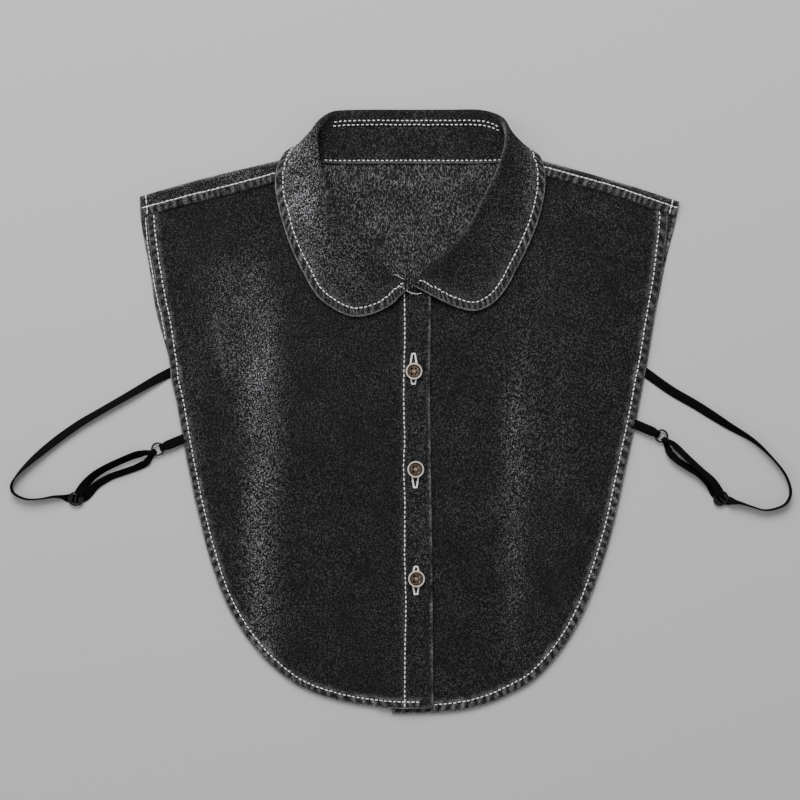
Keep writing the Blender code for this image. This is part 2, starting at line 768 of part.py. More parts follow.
# Buttons: four holes, a raised rim
def build_button(name, row, surface):
    radius = BUTTON_DIAMETER / 2
    y = TOP_Y - row * BODY_LENGTH
    base = left_top(BUTTON_X, y) + CLEARANCE
    bm = bmesh.new()
    bmesh.ops.create_cone(
        bm, cap_ends=True, segments=18, radius1=radius * 0.86, radius2=radius, depth=BUTTON_THICKNESS
    )
    face = max(bm.faces, key=lambda item: item.calc_center_median().z)
    bmesh.ops.inset_region(bm, faces=[face], thickness=BUTTON_RIM * 0.55)
    bmesh.ops.inset_region(bm, faces=[face], thickness=BUTTON_RIM * 0.45, depth=-BUTTON_DISH)
    for vert in bm.verts:
        vert.co += Vector((BUTTON_X, y, base + BUTTON_THICKNESS / 2))
    button = add_object(name, bm, surface)
    for k in range(4):
        angle = math.pi * (k / 2 + 0.25)
        spot = Vector((math.cos(angle), math.sin(angle), 0)) * BUTTON_HOLE_SPACING / math.sqrt(2)
        hole = bmesh.new()
        bmesh.ops.create_cone(
            hole,
            cap_ends=True,
            segments=6,
            radius1=BUTTON_HOLE / 2,
            radius2=BUTTON_HOLE / 2,
            depth=3 * BUTTON_THICKNESS,
        )
        for vert in hole.verts:
            vert.co += Vector((BUTTON_X, y, base + BUTTON_THICKNESS / 2)) + spot
        cutter = add_object(f"{name}_hole_{k}", hole, surface)
        cutter.hide_render = True
        cutter.display_type = "WIRE"
        boolean = button.modifiers.new(f"hole_{k}", "BOOLEAN")
        boolean.operation = "DIFFERENCE"
        boolean.solver = "EXACT"
        boolean.object = cutter
    return button


# Straps
def strap_place(side, out, y, anchor="tab"):
    """A place beside the body, in metres, from its distance out from the side hem in millimetres."""
    sign = -1 if side == "left" else 1
    return Vector((sign * (HEM_SHARES[side][anchor] * BODY_WIDTH + out * MM), y * MM))


def hairpin(ring, pull):
    """Points of a band that goes round a ring's wire, from under it to over it."""
    toward = Vector((pull[0], pull[1], 0)).normalized()
    centre = Vector((ring[0], ring[1], 0)) - toward * ((RING_DIAMETER - RING_WIRE) / 2 - CLEARANCE)
    centre.z = RING_HEIGHT
    line = []
    for k in range(7):
        angle = math.pi * k / 6
        line.append(centre + PIN_RADIUS * (toward * math.sin(angle) - Vector((0, 0, math.cos(angle)))))
    return line


def band(name, points, turns, widths, surface):
    """A flat band along a line of points, turned about its length."""
    bm = bmesh.new()
    rings = []
    side = None
    for k, point in enumerate(points):
        heading = (points[min(k + 1, len(points) - 1)] - points[max(k - 1, 0)]).normalized()
        level = heading.to_2d()
        if level.length > 0.35:
            fresh = Vector((-level.y, level.x, 0)).normalized()
            side = -fresh if side and side.dot(fresh) < 0 else fresh
        over = heading.cross(side).normalized()
        if over.z < 0:
            over = -over
        angle = math.radians(turns[k])
        across = side * math.cos(angle) + over * math.sin(angle)
        through_band = heading.cross(across).normalized()
        half = across * STRAP_WIDTH * widths[k] / 2
        thick = through_band * STRAP_THICKNESS / 2
        corners = (half + thick, half - thick, -half - thick, -half + thick)
        lift = Vector((0, 0, max(0.0, -min(point.z + corner.z for corner in corners))))
        rings.append([bm.verts.new(point + corner + lift) for corner in corners])
    for a, b in zip(rings, rings[1:]):
        for k in range(4):
            bm.faces.new((a[k], a[(k + 1) % 4], b[(k + 1) % 4], b[k]))
    bm.faces.new(rings[0][::-1])
    bm.faces.new(rings[-1])
    return add_object(name, bm, surface)


def route(side, rows, anchor="tab"):
    """Smooth points and turns along a table of out, y, height and turn."""
    spots = [strap_place(side, out, y) for out, y, _, _ in rows]
    spots[0] = strap_place(side, rows[0][0], rows[0][1], anchor)
    levels = [(height * MM, turn * 0.1 * MM) for _, _, height, turn in rows]
    line = through([Vector((*spot, *level)) for spot, level in zip(spots, levels)], STRAP_STEP)
    return [Vector(item[:3]) for item in line], [item[3] / MM / 0.1 for item in line]


def build_strap(side, surface):
    data = STRAPS[side]
    ring = strap_place(side, *data["ring"])
    out_points, out_turns = route(side, data["out"], "start")
    back_points, back_turns = route(side, data["back"])
    pin = hairpin(ring, data["pull"])
    points = out_points + pin + back_points
    turns = out_turns + [0.0] * len(pin) + back_turns
    half_way = (1 + PIN_WIDTH) / 2
    widths = [1.0] * (len(out_points) - 1) + [half_way] + [PIN_WIDTH] * len(pin)
    widths += [half_way] + [1.0] * (len(back_points) - 1)
    return band(f"strap_{side}", points, turns, widths, surface)


def build_tab(side, surface):
    data = STRAPS[side]
    ring = strap_place(side, *data["ring"])
    edge = strap_place(side, *data["tab"][0])
    middle = strap_place(side, *data["tab"][1])
    pull = (ring - middle).normalized()
    pin = hairpin(ring, pull)
    low = [Vector((edge.x, edge.y, STRAP_THICKNESS / 2)), Vector((middle.x, middle.y, STRAP_THICKNESS / 2))]
    high = [point + Vector((0, 0, RING_HEIGHT * 2 - STRAP_THICKNESS)) for point in low[::-1]]
    points = low + pin + high
    widths = [1.0, (1 + PIN_WIDTH) / 2] + [PIN_WIDTH] * len(pin) + [(1 + PIN_WIDTH) / 2, 1.0]
    return band(f"tab_{side}", points, [0.0] * len(points), widths, surface)


def build_ring(side, surface):
    ring = strap_place(side, *STRAPS[side]["ring"])
    bm = bmesh.new()
    radius = (RING_DIAMETER - RING_WIRE) / 2
    rings = []
    for k in range(20):
        angle = 2 * math.pi * k / 20
        way = Vector((math.cos(angle), math.sin(angle), 0))
        centre = Vector((ring.x, ring.y, RING_HEIGHT)) + way * radius
        circle = []
        for j in range(6):
            turn = 2 * math.pi * j / 6
            offset = way * math.cos(turn) + Vector((0, 0, math.sin(turn)))
            circle.append(bm.verts.new(centre + RING_WIRE / 2 * offset))
        rings.append(circle)
    for k in range(20):
        a, b = rings[k], rings[(k + 1) % 20]
        for j in range(6):
            bm.faces.new((a[j], a[(j + 1) % 6], b[(j + 1) % 6], b[j]))
    return add_object(f"ring_{side}", bm, surface)


def build_slider(side, surface):
    data = STRAPS[side]
    spot = strap_place(side, *data["out"][data["slider_row"]][:2])
    centre = Vector((spot.x, spot.y, (SLIDER_BOTTOM + SLIDER_TOP) / 2))
    bm = bmesh.new()
    bmesh.ops.create_cone(bm, cap_ends=True, segments=20, radius1=0.5, radius2=0.5, depth=1)
    for vert in bm.verts:
        x, y, z = vert.co
        vert.co = Vector((x * SLIDER_ALONG, y * SLIDER_ACROSS, z * SLIDER_THICKNESS))
    slider = add_object(f"slider_{side}", bm, surface)
    slider.location = centre
    slider.rotation_euler = (0, 0, math.radians(data["slider_heading"]))
    for k, sign in enumerate((-1, 1)):
        slot = bmesh.new()
        bmesh.ops.create_cube(slot, size=1)
        for vert in slot.verts:
            vert.co = Vector(
                (
                    vert.co.x * SLIDER_SLOT + sign * (SLIDER_BAR + SLIDER_SLOT) / 2,
                    vert.co.y * (STRAP_WIDTH + 2 * CLEARANCE),
                    vert.co.z * SLIDER_THICKNESS * 3,
                )
            )
        cutter = add_object(f"slider_{side}_slot_{k}", slot, surface)
        cutter.location = centre
        cutter.rotation_euler = slider.rotation_euler
        cutter.hide_render = True
        cutter.display_type = "WIRE"
        boolean = slider.modifiers.new(f"slot_{k}", "BOOLEAN")
        boolean.operation = "DIFFERENCE"
        boolean.solver = "EXACT"
        boolean.object = cutter
    return slider


clear_scene()
denim = material("denim_washed_black", DENIM, 0.85)
denim_inside = material("denim_inside", DENIM_INSIDE, 0.9)
elastic = material("elastic_black", ELASTIC, 0.75)
metal = material("metal_black", BLACK_METAL, 0.35, 0.6)
horn = material("button_horn", BUTTON_HORN, 0.4)
build_back_panel(denim_inside)
build_front_left(denim)
build_front_right(denim)
build_placket(denim)
build_stand(denim)
build_leaf(denim)
for button_name, button_row in BUTTON_ROWS.items():
    build_button(button_name, button_row, horn)
for strap_side in STRAPS:
    build_strap(strap_side, elastic)
    build_tab(strap_side, elastic)
    build_ring(strap_side, metal)
    build_slider(strap_side, metal)
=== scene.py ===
"""Detachable denim collar lying flat: the look of its cloth, stitching, buttons and straps.

Positions are metres in the frame's own axes: +X to the right of the view, +Y to the back of the
neck, +Z up. Rows of points are written in millimetres.
"""

import math

import bmesh
import bpy
import numpy as np
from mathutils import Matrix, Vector
from mathutils.geometry import delaunay_2d_cdt


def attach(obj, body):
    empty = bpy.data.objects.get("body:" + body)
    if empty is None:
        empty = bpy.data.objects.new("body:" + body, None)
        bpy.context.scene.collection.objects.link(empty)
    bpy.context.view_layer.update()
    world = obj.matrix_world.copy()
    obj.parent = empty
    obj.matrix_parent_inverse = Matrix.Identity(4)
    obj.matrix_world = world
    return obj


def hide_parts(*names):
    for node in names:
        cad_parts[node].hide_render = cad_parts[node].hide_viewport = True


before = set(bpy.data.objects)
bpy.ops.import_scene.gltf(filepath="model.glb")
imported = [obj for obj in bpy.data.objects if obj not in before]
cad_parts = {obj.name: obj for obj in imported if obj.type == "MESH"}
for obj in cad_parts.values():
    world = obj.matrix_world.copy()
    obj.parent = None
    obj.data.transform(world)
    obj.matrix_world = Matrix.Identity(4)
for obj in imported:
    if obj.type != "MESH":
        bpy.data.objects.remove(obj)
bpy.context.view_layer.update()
MM = 0.001


# Back panel
# One layer of washed denim, its inside face up in the neck opening, its hem turned and worn pale.
# It lies under everything and rises a little over the part of the leaf tucked beneath it.
DENIM_LAYER = 1.0 * MM
BACK_TOP = DENIM_LAYER
LEAF_ROOM = 2.0 * MM
NECK_SEAM_Y = 161.0 * MM
SHEET_CELL = 2.2 * MM
OUTLINE_STEP = 1.6 * MM

LEFT_EDGE_ROWS = (
    (-173.3, 138.4), (-173.3, 134.5), (-172.6, 123.5), (-170.6, 110.6), (-168.0, 97.7), (-165.9, 84.8),
    (-164.2, 71.9), (-162, 59), (-159.1, 46.1), (-155.9, 33.2), (-152.9, 20.3), (-149.8, 7.4),
    (-147.5, -5.5), (-145.3, -18.4), (-143.0, -31.3), (-140.4, -44.2), (-137.8, -57.1), (-134.6, -70),
    (-131.4, -82.9), (-127.8, -95.8), (-123.6, -108.7), (-118.5, -121.6), (-111.7, -134.5), (-103, -147.4),
    (-92, -160.3), (-77.0, -173.0), (-64.3, -179.9), (-46.6, -185.8), (-31.4, -188.9), (-21.1, -190.1),
    (-8.8, -190.9), (7.3, -190.9),
)
RIGHT_EDGE_ROWS = (
    (174.3, 135.1), (173.7, 132.5), (172.4, 123.5), (169.2, 110.6), (165.9, 97.7), (163.4, 84.8),
    (160.8, 71.9), (158.4, 59), (156.1, 46.1), (153.8, 33.2), (151.4, 20.3), (149.0, 7.4),
    (146.5, -5.5), (143.8, -18.4), (141.0, -31.3), (138.3, -44.2), (135.6, -57.1), (132.7, -70),
    (129.3, -82.9), (125.4, -95.8), (121.1, -108.7), (116.2, -121.6), (110.3, -134.5), (102.7, -147.4),
    (93.3, -160.3), (80.8, -172.9), (68.8, -180.1), (55, -186.5), (40.8, -191.0), (29.9, -192.9),
    (17, -194), (2.1, -194.5), (-10.8, -194.5),
)
SHOULDER_LEFT_ROWS = ((-173.3, 138.4), (-150, 145.2), (-130, 150.6), (-108.8, 155.8), (-84.3, 161.6), (-78, 163.4))
SHOULDER_RIGHT_ROWS = ((174.3, 135.1), (150, 143.2), (130, 149.2), (110, 155), (88, 161.2), (82, 162.8))
BACK_NECK_ROWS = ((-78, 163.4), (-65, 166.6), (-48, 165.2), (0, 165), (48, 165.2), (65, 166.6), (82, 162.8))


def ease(value, low, high):
    """0 below low, 1 above high, smooth between, for single values and arrays."""
    share = np.clip((value - low) / (high - low), 0.0, 1.0)
    return share * share * (3 - 2 * share)


def smooth_line(rows, step):
    """A smooth line through rows of millimetres, as metres, its points a step apart."""
    points = np.array(rows, float) * MM
    padded = np.vstack([2 * points[0] - points[1], points, 2 * points[-1] - points[-2]])
    t = np.linspace(0, 1, 12, endpoint=False)[:, None]
    parts = []
    for i in range(len(points) - 1):
        a, b, c, d = padded[i : i + 4]
        parts.append(0.5 * (2 * b + (c - a) * t + (2 * a - 5 * b + 4 * c - d) * t**2 + (3 * b - a - 3 * c + d) * t**3))
    return evenly(np.vstack([*parts, points[-1:]]), step)


def evenly(line, step):
    """The same line with its points an even step apart."""
    run = travelled(line)
    count = max(2, round(run[-1] / step) + 1)
    return np.stack([np.interp(np.linspace(0, run[-1], count), run, line[:, k]) for k in range(line.shape[1])], axis=1)


def travelled(line):
    """How far along a line each of its points is."""
    return np.concatenate([[0.0], np.cumsum(np.linalg.norm(np.diff(line, axis=0), axis=1))])


def beside(line, xy):
    """For each point, how far it is from a line, and how far along the line it is."""
    near = np.full(len(xy), 1.0)
    run_at = np.zeros(len(xy))
    run = travelled(line)
    for k in range(len(line) - 1):
        a = line[k, :2]
        along = line[k + 1, :2] - a
        share = np.clip(((xy - a) @ along) / (along @ along), 0, 1)
        gap = np.linalg.norm(xy - a - share[:, None] * along, axis=1)
        closer = gap < near
        near[closer] = gap[closer]
        run_at[closer] = run[k] + share[closer] * (run[k + 1] - run[k])
    return near, run_at


def unevenness(x, y, cell, seed):
    """Soft random relief between 0 and 1, with features about a cell across."""
    lattice = np.random.default_rng(seed).random((64, 64))
    u = np.asarray(x) / cell + 1000.0
    v = np.asarray(y) / cell + 1000.0
    i = np.floor(u).astype(int)
    j = np.floor(v).astype(int)
    fu = ease(u - i, 0, 1)
    fv = ease(v - j, 0, 1)
    low = lattice[i % 64, j % 64] * (1 - fu) + lattice[(i + 1) % 64, j % 64] * fu
    high = lattice[i % 64, (j + 1) % 64] * (1 - fu) + lattice[(i + 1) % 64, (j + 1) % 64] * fu
    return low * (1 - fv) + high * fv


def puckers(run, gap, pitch, seed):
    """Gathers across a seam, between -1 and 1: uneven in pitch and height, slanting a little."""
    drift = 1.6 * unevenness(run, 0, 4 * pitch, seed)
    wave = np.sin(2 * np.pi * (run / pitch + drift) + gap / (2.2 * MM))
    return wave * (0.35 + 0.65 * unevenness(run, gap, 1.7 * pitch, seed + 1))


def unit(vectors):
    return vectors / np.maximum(np.linalg.norm(vectors, axis=-1, keepdims=True), 1e-9)


def inset_line(line, width):
    """A line beside an edge, its width further into the cloth."""
    heading = np.gradient(line, axis=0)
    heading = unit(heading)
    inward = np.column_stack([-heading[:, 1], heading[:, 0]])
    if line[0, 0] > 0:
        inward = -inward
    return line + inward * width


def cut_cloth(outline, edge, rings, cell):
    """A flat cut of cloth in triangles: rows of points along its hemmed edge, then an even grid."""
    points = [outline]
    reach = 0.0
    for width in rings:
        reach += width
        row = inset_line(edge, reach)
        points.append(row[beside(edge, row)[0] > reach - 0.05 * MM])
    low, high = outline.min(axis=0), outline.max(axis=0)
    columns = np.arange(low[0], high[0], cell)
    for number, y in enumerate(np.arange(low[1], high[1], 0.87 * cell)):
        row = np.column_stack([columns + cell / 2 * (number % 2), np.full(len(columns), y)])
        points.append(row[beside(edge, row)[0] > reach + 0.6 * cell])
    inner = np.vstack(points[1:])
    loop = np.vstack([outline, outline[:1]])
    inner = inner[beside(loop, inner)[0] > 0.25 * MM]
    every = [Vector(spot) for spot in np.vstack([outline, inner])]
    spots, _, faces = delaunay_2d_cdt(every, [], [list(range(len(outline)))], 1, 1e-7)[:3]
    used = sorted({index for face in faces for index in face})
    renumbered = {old: new for new, old in enumerate(used)}
    flat = np.array([spots[index][:] for index in used])
    return flat, [tuple(renumbered[index] for index in face) for face in faces]


def open_edges(faces):
    """The directed edges that only one face has."""
    seen = {}
    for face in faces:
        for a, b in zip(face, face[1:] + face[:1]):
            seen[(a, b)] = seen.get((a, b), 0) + 1
    return [(a, b) for a, b in seen if (b, a) not in seen]


def add_mesh(name, points, faces, surface, wear=None):
    """A smooth-shaded object at the origin, with its wear kept as a colour attribute."""
    mesh = bpy.data.meshes.new(name)
    mesh.from_pydata([tuple(p) for p in points], [], faces)
    mesh.polygons.foreach_set("use_smooth", [True] * len(mesh.polygons))
    if wear is not None:
        layer = mesh.color_attributes.new("wear", "FLOAT_COLOR", "POINT")
        colours = np.ones((len(points), 4))
        colours[:, :3] = wear
        layer.data.foreach_set("color", colours.ravel())
    mesh.materials.append(surface)
    mesh.update()
    made = bpy.data.objects.new(name, mesh)
    bpy.context.scene.collection.objects.link(made)
    return made


def lay_cloth(name, outline, edge, rings, cell, top, thickness, wear, surface):
    """A cut of cloth with its upper face at the heights that top gives, and a lower face under it."""
    flat, faces = cut_cloth(outline, edge, rings, cell)
    upper = np.column_stack([flat, top(flat)])
    lower = np.column_stack([flat, np.maximum(upper[:, 2] - thickness(flat), 0)])
    count = len(flat)
    walls = [(b, a, a + count, b + count) for a, b in open_edges(faces)]
    under = [tuple(index + count for index in face[::-1]) for face in faces]
    worn = wear(flat)
    return add_mesh(name, np.vstack([upper, lower]), faces + under + walls, surface, np.vstack([worn, worn]))


def linear(hex_code):
    """An sRGB hex colour as linear RGBA."""
    channels = [int(hex_code[k : k + 2], 16) / 255 for k in (1, 3, 5)]
    return (*[c / 12.92 if c <= 0.04045 else ((c + 0.055) / 1.055) ** 2.4 for c in channels], 1.0)


def node(tree, kind, settings=None, links=None):
    """Adds one shader node, with its input values and what its inputs are linked from."""
    made = tree.nodes.new(kind)
    for key, value in (settings or {}).items():
        if isinstance(key, int) or key in made.inputs:
            made.inputs[key].default_value = value
        else:
            setattr(made, key, value)
    for key, source in (links or {}).items():
        tree.links.new(source, made.inputs[key])
    return made


def new_surface(name):
    made = bpy.data.materials.new(name)
    made.use_nodes = True
    tree = made.node_tree
    return made, tree, tree.nodes["Principled BSDF"]


YARN_WIDTH = 0.7 * MM
SLUB_LENGTH = 2.0 * MM
FLECK_SIZE = 0.85 * MM
WASH_PATCH = 24.0 * MM
TWILL_PITCH = 1.05 * MM


def denim(name, dark, pale, worn, fleck_share, streak):
    """Washed denim: dark yarns with pale flecks, more of them where faded, and worn edges paler.

    The wear attribute's red is how worn an edge is, and its green is how faded the cloth is.
    """
    made, tree, shader = new_surface(name)
    place = node(tree, "ShaderNodeTexCoord").outputs["Object"]
    yarn_size = (1 / YARN_WIDTH, 1 / SLUB_LENGTH, 1 / YARN_WIDTH)
    stretched = node(tree, "ShaderNodeMapping", {"Scale": yarn_size}, {"Vector": place})
    yarn_noise = {"Scale": 1.0, "Detail": 1.0, "Roughness": 0.6}
    yarns = node(tree, "ShaderNodeTexNoise", yarn_noise, {"Vector": stretched.outputs[0]})
    fleck_noise = {"Scale": 1 / FLECK_SIZE, "Detail": 2.0, "Roughness": 0.6}
    flecks = node(tree, "ShaderNodeTexNoise", fleck_noise, {"Vector": place})
    wash_noise = {"Scale": 1 / WASH_PATCH, "Detail": 3.0, "Roughness": 0.6}
    wash = node(tree, "ShaderNodeTexNoise", wash_noise, {"Vector": place})
    blend = node(
        tree,
        "ShaderNodeMix",
        {"data_type": "FLOAT", 0: streak},
        {2: flecks.outputs["Fac"], 3: yarns.outputs["Fac"]},
    )
    grain_range = {"From Min": 0.49, "From Max": 0.635}
    grain = node(tree, "ShaderNodeMapRange", grain_range, {"Value": blend.outputs[0]})
    wear = node(tree, "ShaderNodeVertexColor", {"layer_name": "wear"})
    parts = node(tree, "ShaderNodeSeparateColor", {}, {"Color": wear.outputs["Color"]})
    patch_range = {"From Min": 0.3, "From Max": 0.7, "To Min": 0.6 * fleck_share, "To Max": 1.4 * fleck_share}
    patches = node(tree, "ShaderNodeMapRange", patch_range, {"Value": wash.outputs["Fac"]})
    faded = node(
        tree, "ShaderNodeMath", {"operation": "ADD"}, {0: patches.outputs[0], 1: parts.outputs["Green"]}
    )
    share = node(
        tree, "ShaderNodeMath", {"operation": "MULTIPLY", "use_clamp": True}, {0: grain.outputs[0], 1: faded.outputs[0]}
    )
    base_colours = {"data_type": "RGBA", 6: linear(dark), 7: linear(pale)}
    base = node(tree, "ShaderNodeMix", base_colours, {0: share.outputs[0]})
    scuff_range = {"From Min": 0.38, "From Max": 0.6, "To Min": 0.3, "To Max": 1.0}
    scuffs = node(tree, "ShaderNodeMapRange", scuff_range, {"Value": flecks.outputs["Fac"]})
    scuffed = node(
        tree, "ShaderNodeMath", {"operation": "MULTIPLY", "use_clamp": True}, {0: parts.outputs["Red"], 1: scuffs.outputs[0]}
    )
    surface = node(
        tree, "ShaderNodeMix", {"data_type": "RGBA", 7: linear(worn)}, {0: scuffed.outputs[0], 6: base.outputs[2]}
    )
    slant = node(tree, "ShaderNodeMapping", {"Rotation": (0, 0, math.radians(28))}, {"Vector": place})
    lines = {"wave_type": "BANDS", "bands_direction": "X", "Scale": 1 / TWILL_PITCH / 3.2, "Distortion": 2.0}
    twill = node(tree, "ShaderNodeTexWave", lines, {"Vector": slant.outputs[0]})
    relief = node(
        tree, "ShaderNodeMath", {"operation": "ADD"}, {0: twill.outputs["Fac"], 1: blend.outputs[0]}
    )
    bump = node(tree, "ShaderNodeBump", {"Strength": 0.6, "Distance": 0.25 * MM}, {"Height": relief.outputs[0]})
    tree.links.new(surface.outputs[2], shader.inputs["Base Color"])
    tree.links.new(bump.outputs[0], shader.inputs["Normal"])
    shader.inputs["Roughness"].default_value = 0.95
    shader.inputs["Specular IOR Level"].default_value = 0.15
    return made


denim_face = denim("denim_washed_black", "#121314", "#a9a9ac", "#b8b8b6", 0.12, 0.3)
denim_inside = denim("denim_inside_twill", "#1c1b1c", "#a3a2a3", "#a8a8a5", 0.36, 0.55)
left_edge = smooth_line(LEFT_EDGE_ROWS, OUTLINE_STEP)
right_edge = smooth_line(RIGHT_EDGE_ROWS, OUTLINE_STEP)
shoulder_left = smooth_line(SHOULDER_LEFT_ROWS, OUTLINE_STEP)
shoulder_right = smooth_line(SHOULDER_RIGHT_ROWS, OUTLINE_STEP)


def faded(x, y, rows):
    """How faded the cloth is, from soft places given in millimetres."""
    found = np.zeros(np.shape(x))
    for across, along, half_width, half_length, amount in rows:
        side = (x / MM - across) / half_width
        end = (y / MM - along) / half_length
        found = found + amount * np.exp(-(side**2) - end**4)
    return found * (0.6 + 0.8 * unevenness(x, 0.5 * y, 11 * MM, 57))


def moved_in(line, upper, lower):
    """An edge line moved towards the middle of the cloth: by upper near the shoulder, lower below."""
    heading = np.gradient(line, axis=0)
    heading /= np.linalg.norm(heading, axis=1)[:, None]
    inward = np.column_stack([-heading[:, 1], heading[:, 0]])
    if line[0, 0] > 0:
        inward = -inward
    share = ease(line[:, 1], 35 * MM, 75 * MM)
    return line + inward * (upper * share + lower * (1 - share))[:, None]


def back_rise(xy):
    """The back panel's rise over the leaf's tucked part."""
    x, y = xy[:, 0], xy[:, 1]
    inset = 1 * MM + np.maximum(0, NECK_SEAM_Y + 6 * MM - y) * 1.2
    across = ease(x, -83 * MM + inset, -75 * MM + inset) * (1 - ease(x, 79 * MM - inset, 87 * MM - inset))
    return LEAF_ROOM * across * (1 - ease(144 * MM - y, 0, 12 * MM))


def build_back_panel():
    left = moved_in(left_edge, 0, 1.6 * MM)
    right = moved_in(right_edge, 0, 1.6 * MM)
    hem = np.vstack([left[left[:, 0] < -6 * MM], right[right[:, 0] > 6 * MM][::-1]])
    hem = evenly(hem, 2 * OUTLINE_STEP)
    neck = smooth_line(BACK_NECK_ROWS, 3 * MM)
    top_left = shoulder_left[::2] - np.array([0, 1.6 * MM])
    top_right = shoulder_right[::2] - np.array([0, 1.6 * MM])
    outline = np.vstack([hem[1:-1], top_right[1:-1], neck[::-1][1:-1], top_left[::-1][1:]])

    def top(xy):
        gap, run = beside(hem, xy)
        edge = -0.5 * MM * (1 - np.clip(gap / (0.8 * MM), 0, 1)) ** 2
        gathers = 0.25 * MM * puckers(run, gap, 6.5 * MM, 11) * (1 - ease(gap, 2 * MM, 5 * MM))
        hem_fold = 0.35 * MM * (1 - ease(gap, 2.5 * MM, 3.2 * MM))
        inside = 0.5 * MM * unevenness(xy[:, 0], xy[:, 1], 16 * MM, 5) * ease(xy[:, 1], 60 * MM, 90 * MM)
        return BACK_TOP + back_rise(xy) + edge + gathers + hem_fold + inside * ease(gap, 20 * MM, 40 * MM)

    def wear(xy):
        gap, run = beside(hem, xy)
        broken = np.clip(1.6 * unevenness(run, gap, 2.6 * MM, 8) - 0.45, 0, 1)
        pale = 0.8 * (1 - ease(gap, 0.4 * MM, 2.4 * MM)) * broken
        fade = 0.12 * unevenness(xy[:, 0], xy[:, 1], 12 * MM, 9) * ease(gap, 5 * MM, 9 * MM)
        return np.column_stack([pale, fade, 0 * pale])

    panel = lay_cloth(
        "back_panel_cloth",
        outline,
        hem,
        (0.8 * MM, 1.8 * MM, 1.2 * MM),
        3.4 * MM,
        top,
        lambda xy: np.full(len(xy), DENIM_LAYER),
        wear,
        denim_inside,
    )
    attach(panel, "root")
    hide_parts("back_panel")
    return hem


back_hem = build_back_panel()


# Fronts
# Two sheets of washed black denim with a turned hem, topstitched in white and puckered by washing.
# The right one has a button stand that passes under the left one, which folds back at the placket.
HEM_WIDTH = 4.6 * MM
WIDE_HEM = 5.4 * MM
FRONT_TOP = 2.3 * MM
PLACKET_SEAM_X = -3.0 * MM
PLACKET_ROWS = ((15.9, -190.9), (15.6, -150), (15.2, -102), (14.6, -60), (13.8, -5), (13.7, 20), (14.2, 66), (14.2, 79.5))
STAND_EDGE_ROWS = ((-10.8, -194.5), (-10.8, 79.5))
LEFT_NECK_ROWS = ((-6.5, 78.5), (-22.6, 79.3), (-40, 90.4), (-53.5, 110.7), (-63.2, 133.4), (-69.5, 151.8))
RIGHT_NECK_ROWS = ((14, 80), (24.4, 84.4), (39, 93.8), (51.9, 109.4), (62.7, 128.2), (70.3, 145.1))
LEFT_TUCK_ROWS = ((-166.4, 131.5), (-140, 139.3), (-114, 145.6), (-81.2, 154.2))
RIGHT_TUCK_ROWS = ((168, 130.8), (149.2, 138.7), (129.8, 145.0), (107.9, 150.9), (85.4, 156.3))
FADE_COLUMNS = ("across", "along", "half width", "half length", "amount")
FRONT_FADES = (
    (-95, -40, 11, 118, 0.5),
    (-96, 18, 12, 34, 0.28),
    (-112, 62, 19, 38, 0.26),
    (-140, -10, 8, 70, 0.08),
    (68, -55, 8, 88, 0.24),
    (86, 10, 26, 90, 0.08),
    (6, -30, 7, 150, 0.07),
)
CREASE_ROWS = ((-124.9, 63.5), (-122.5, 50), (-120.6, 36), (-118.5, 22.9))

FRONT_LEFT_ROWS = (
    (-168.8, 129.5), (-168.4, 122), (-167.4, 112), (-165.6, 98.4), (-161.4, 74),
    (-157.9, 57.1), (-155.3, 40.3), (-153.6, 28),
)
FRONT_RIGHT_ROWS = (
    (166.8, 129), (166.6, 120.3), (165.6, 110), (164.2, 97.7), (162.6, 84.8), (160.3, 71.9),
    (157.8, 57.1), (155.2, 41), (153.2, 29),
)
front_left_edge = smooth_line(FRONT_LEFT_ROWS + LEFT_EDGE_ROWS[10:], OUTLINE_STEP)
front_right_edge = smooth_line(FRONT_RIGHT_ROWS + RIGHT_EDGE_ROWS[10:], OUTLINE_STEP)
placket_fold = smooth_line(PLACKET_ROWS, OUTLINE_STEP)
crease = smooth_line(CREASE_ROWS, 2 * MM)


def hem_relief(gap, width):
    """The turned hem's height over one layer: rounded edge, flat fold, groove at the stitches."""
    edge = -0.9 * MM * (1 - np.clip(gap / (1.1 * MM), 0, 1)) ** 2
    fold = 1.0 * MM * (1 - ease(gap, width + 0.3 * MM, width + 1.5 * MM))
    groove = -0.32 * MM * np.exp(-(((gap - width) / (0.55 * MM)) ** 2))
    return edge + fold + groove


def hem_gathers(gap, run, width, seed):
    """Washed-in gathers, strongest between the hem's edge and its stitches, dying out past them."""
    inner = ease(gap, 0.2 * MM, 1.4 * MM) * (1 - ease(gap, width - 0.6 * MM, width + 0.4 * MM))
    outer = 0.5 * ease(gap, width, width + 1.2 * MM) * (1 - ease(gap, width + 2.5 * MM, width + 8 * MM))
    return (0.42 * inner + 0.4 * outer) * MM * puckers(run, gap, 6.2 * MM, seed)


def soft_lie(xy, seed):
    """How cloth laid on a table isn't quite flat: broad swells and small crumples."""
    x, y = xy[:, 0], xy[:, 1]
    swell = 0.9 * MM * (unevenness(x, 0.55 * y, 46 * MM, seed) - 0.5)
    crumple = 0.35 * MM * (unevenness(x, 0.6 * y, 15 * MM, seed + 1) - 0.5)
    fine = 0.12 * MM * (unevenness(x, y, 5 * MM, seed + 2) - 0.5)
    return swell + crumple + fine


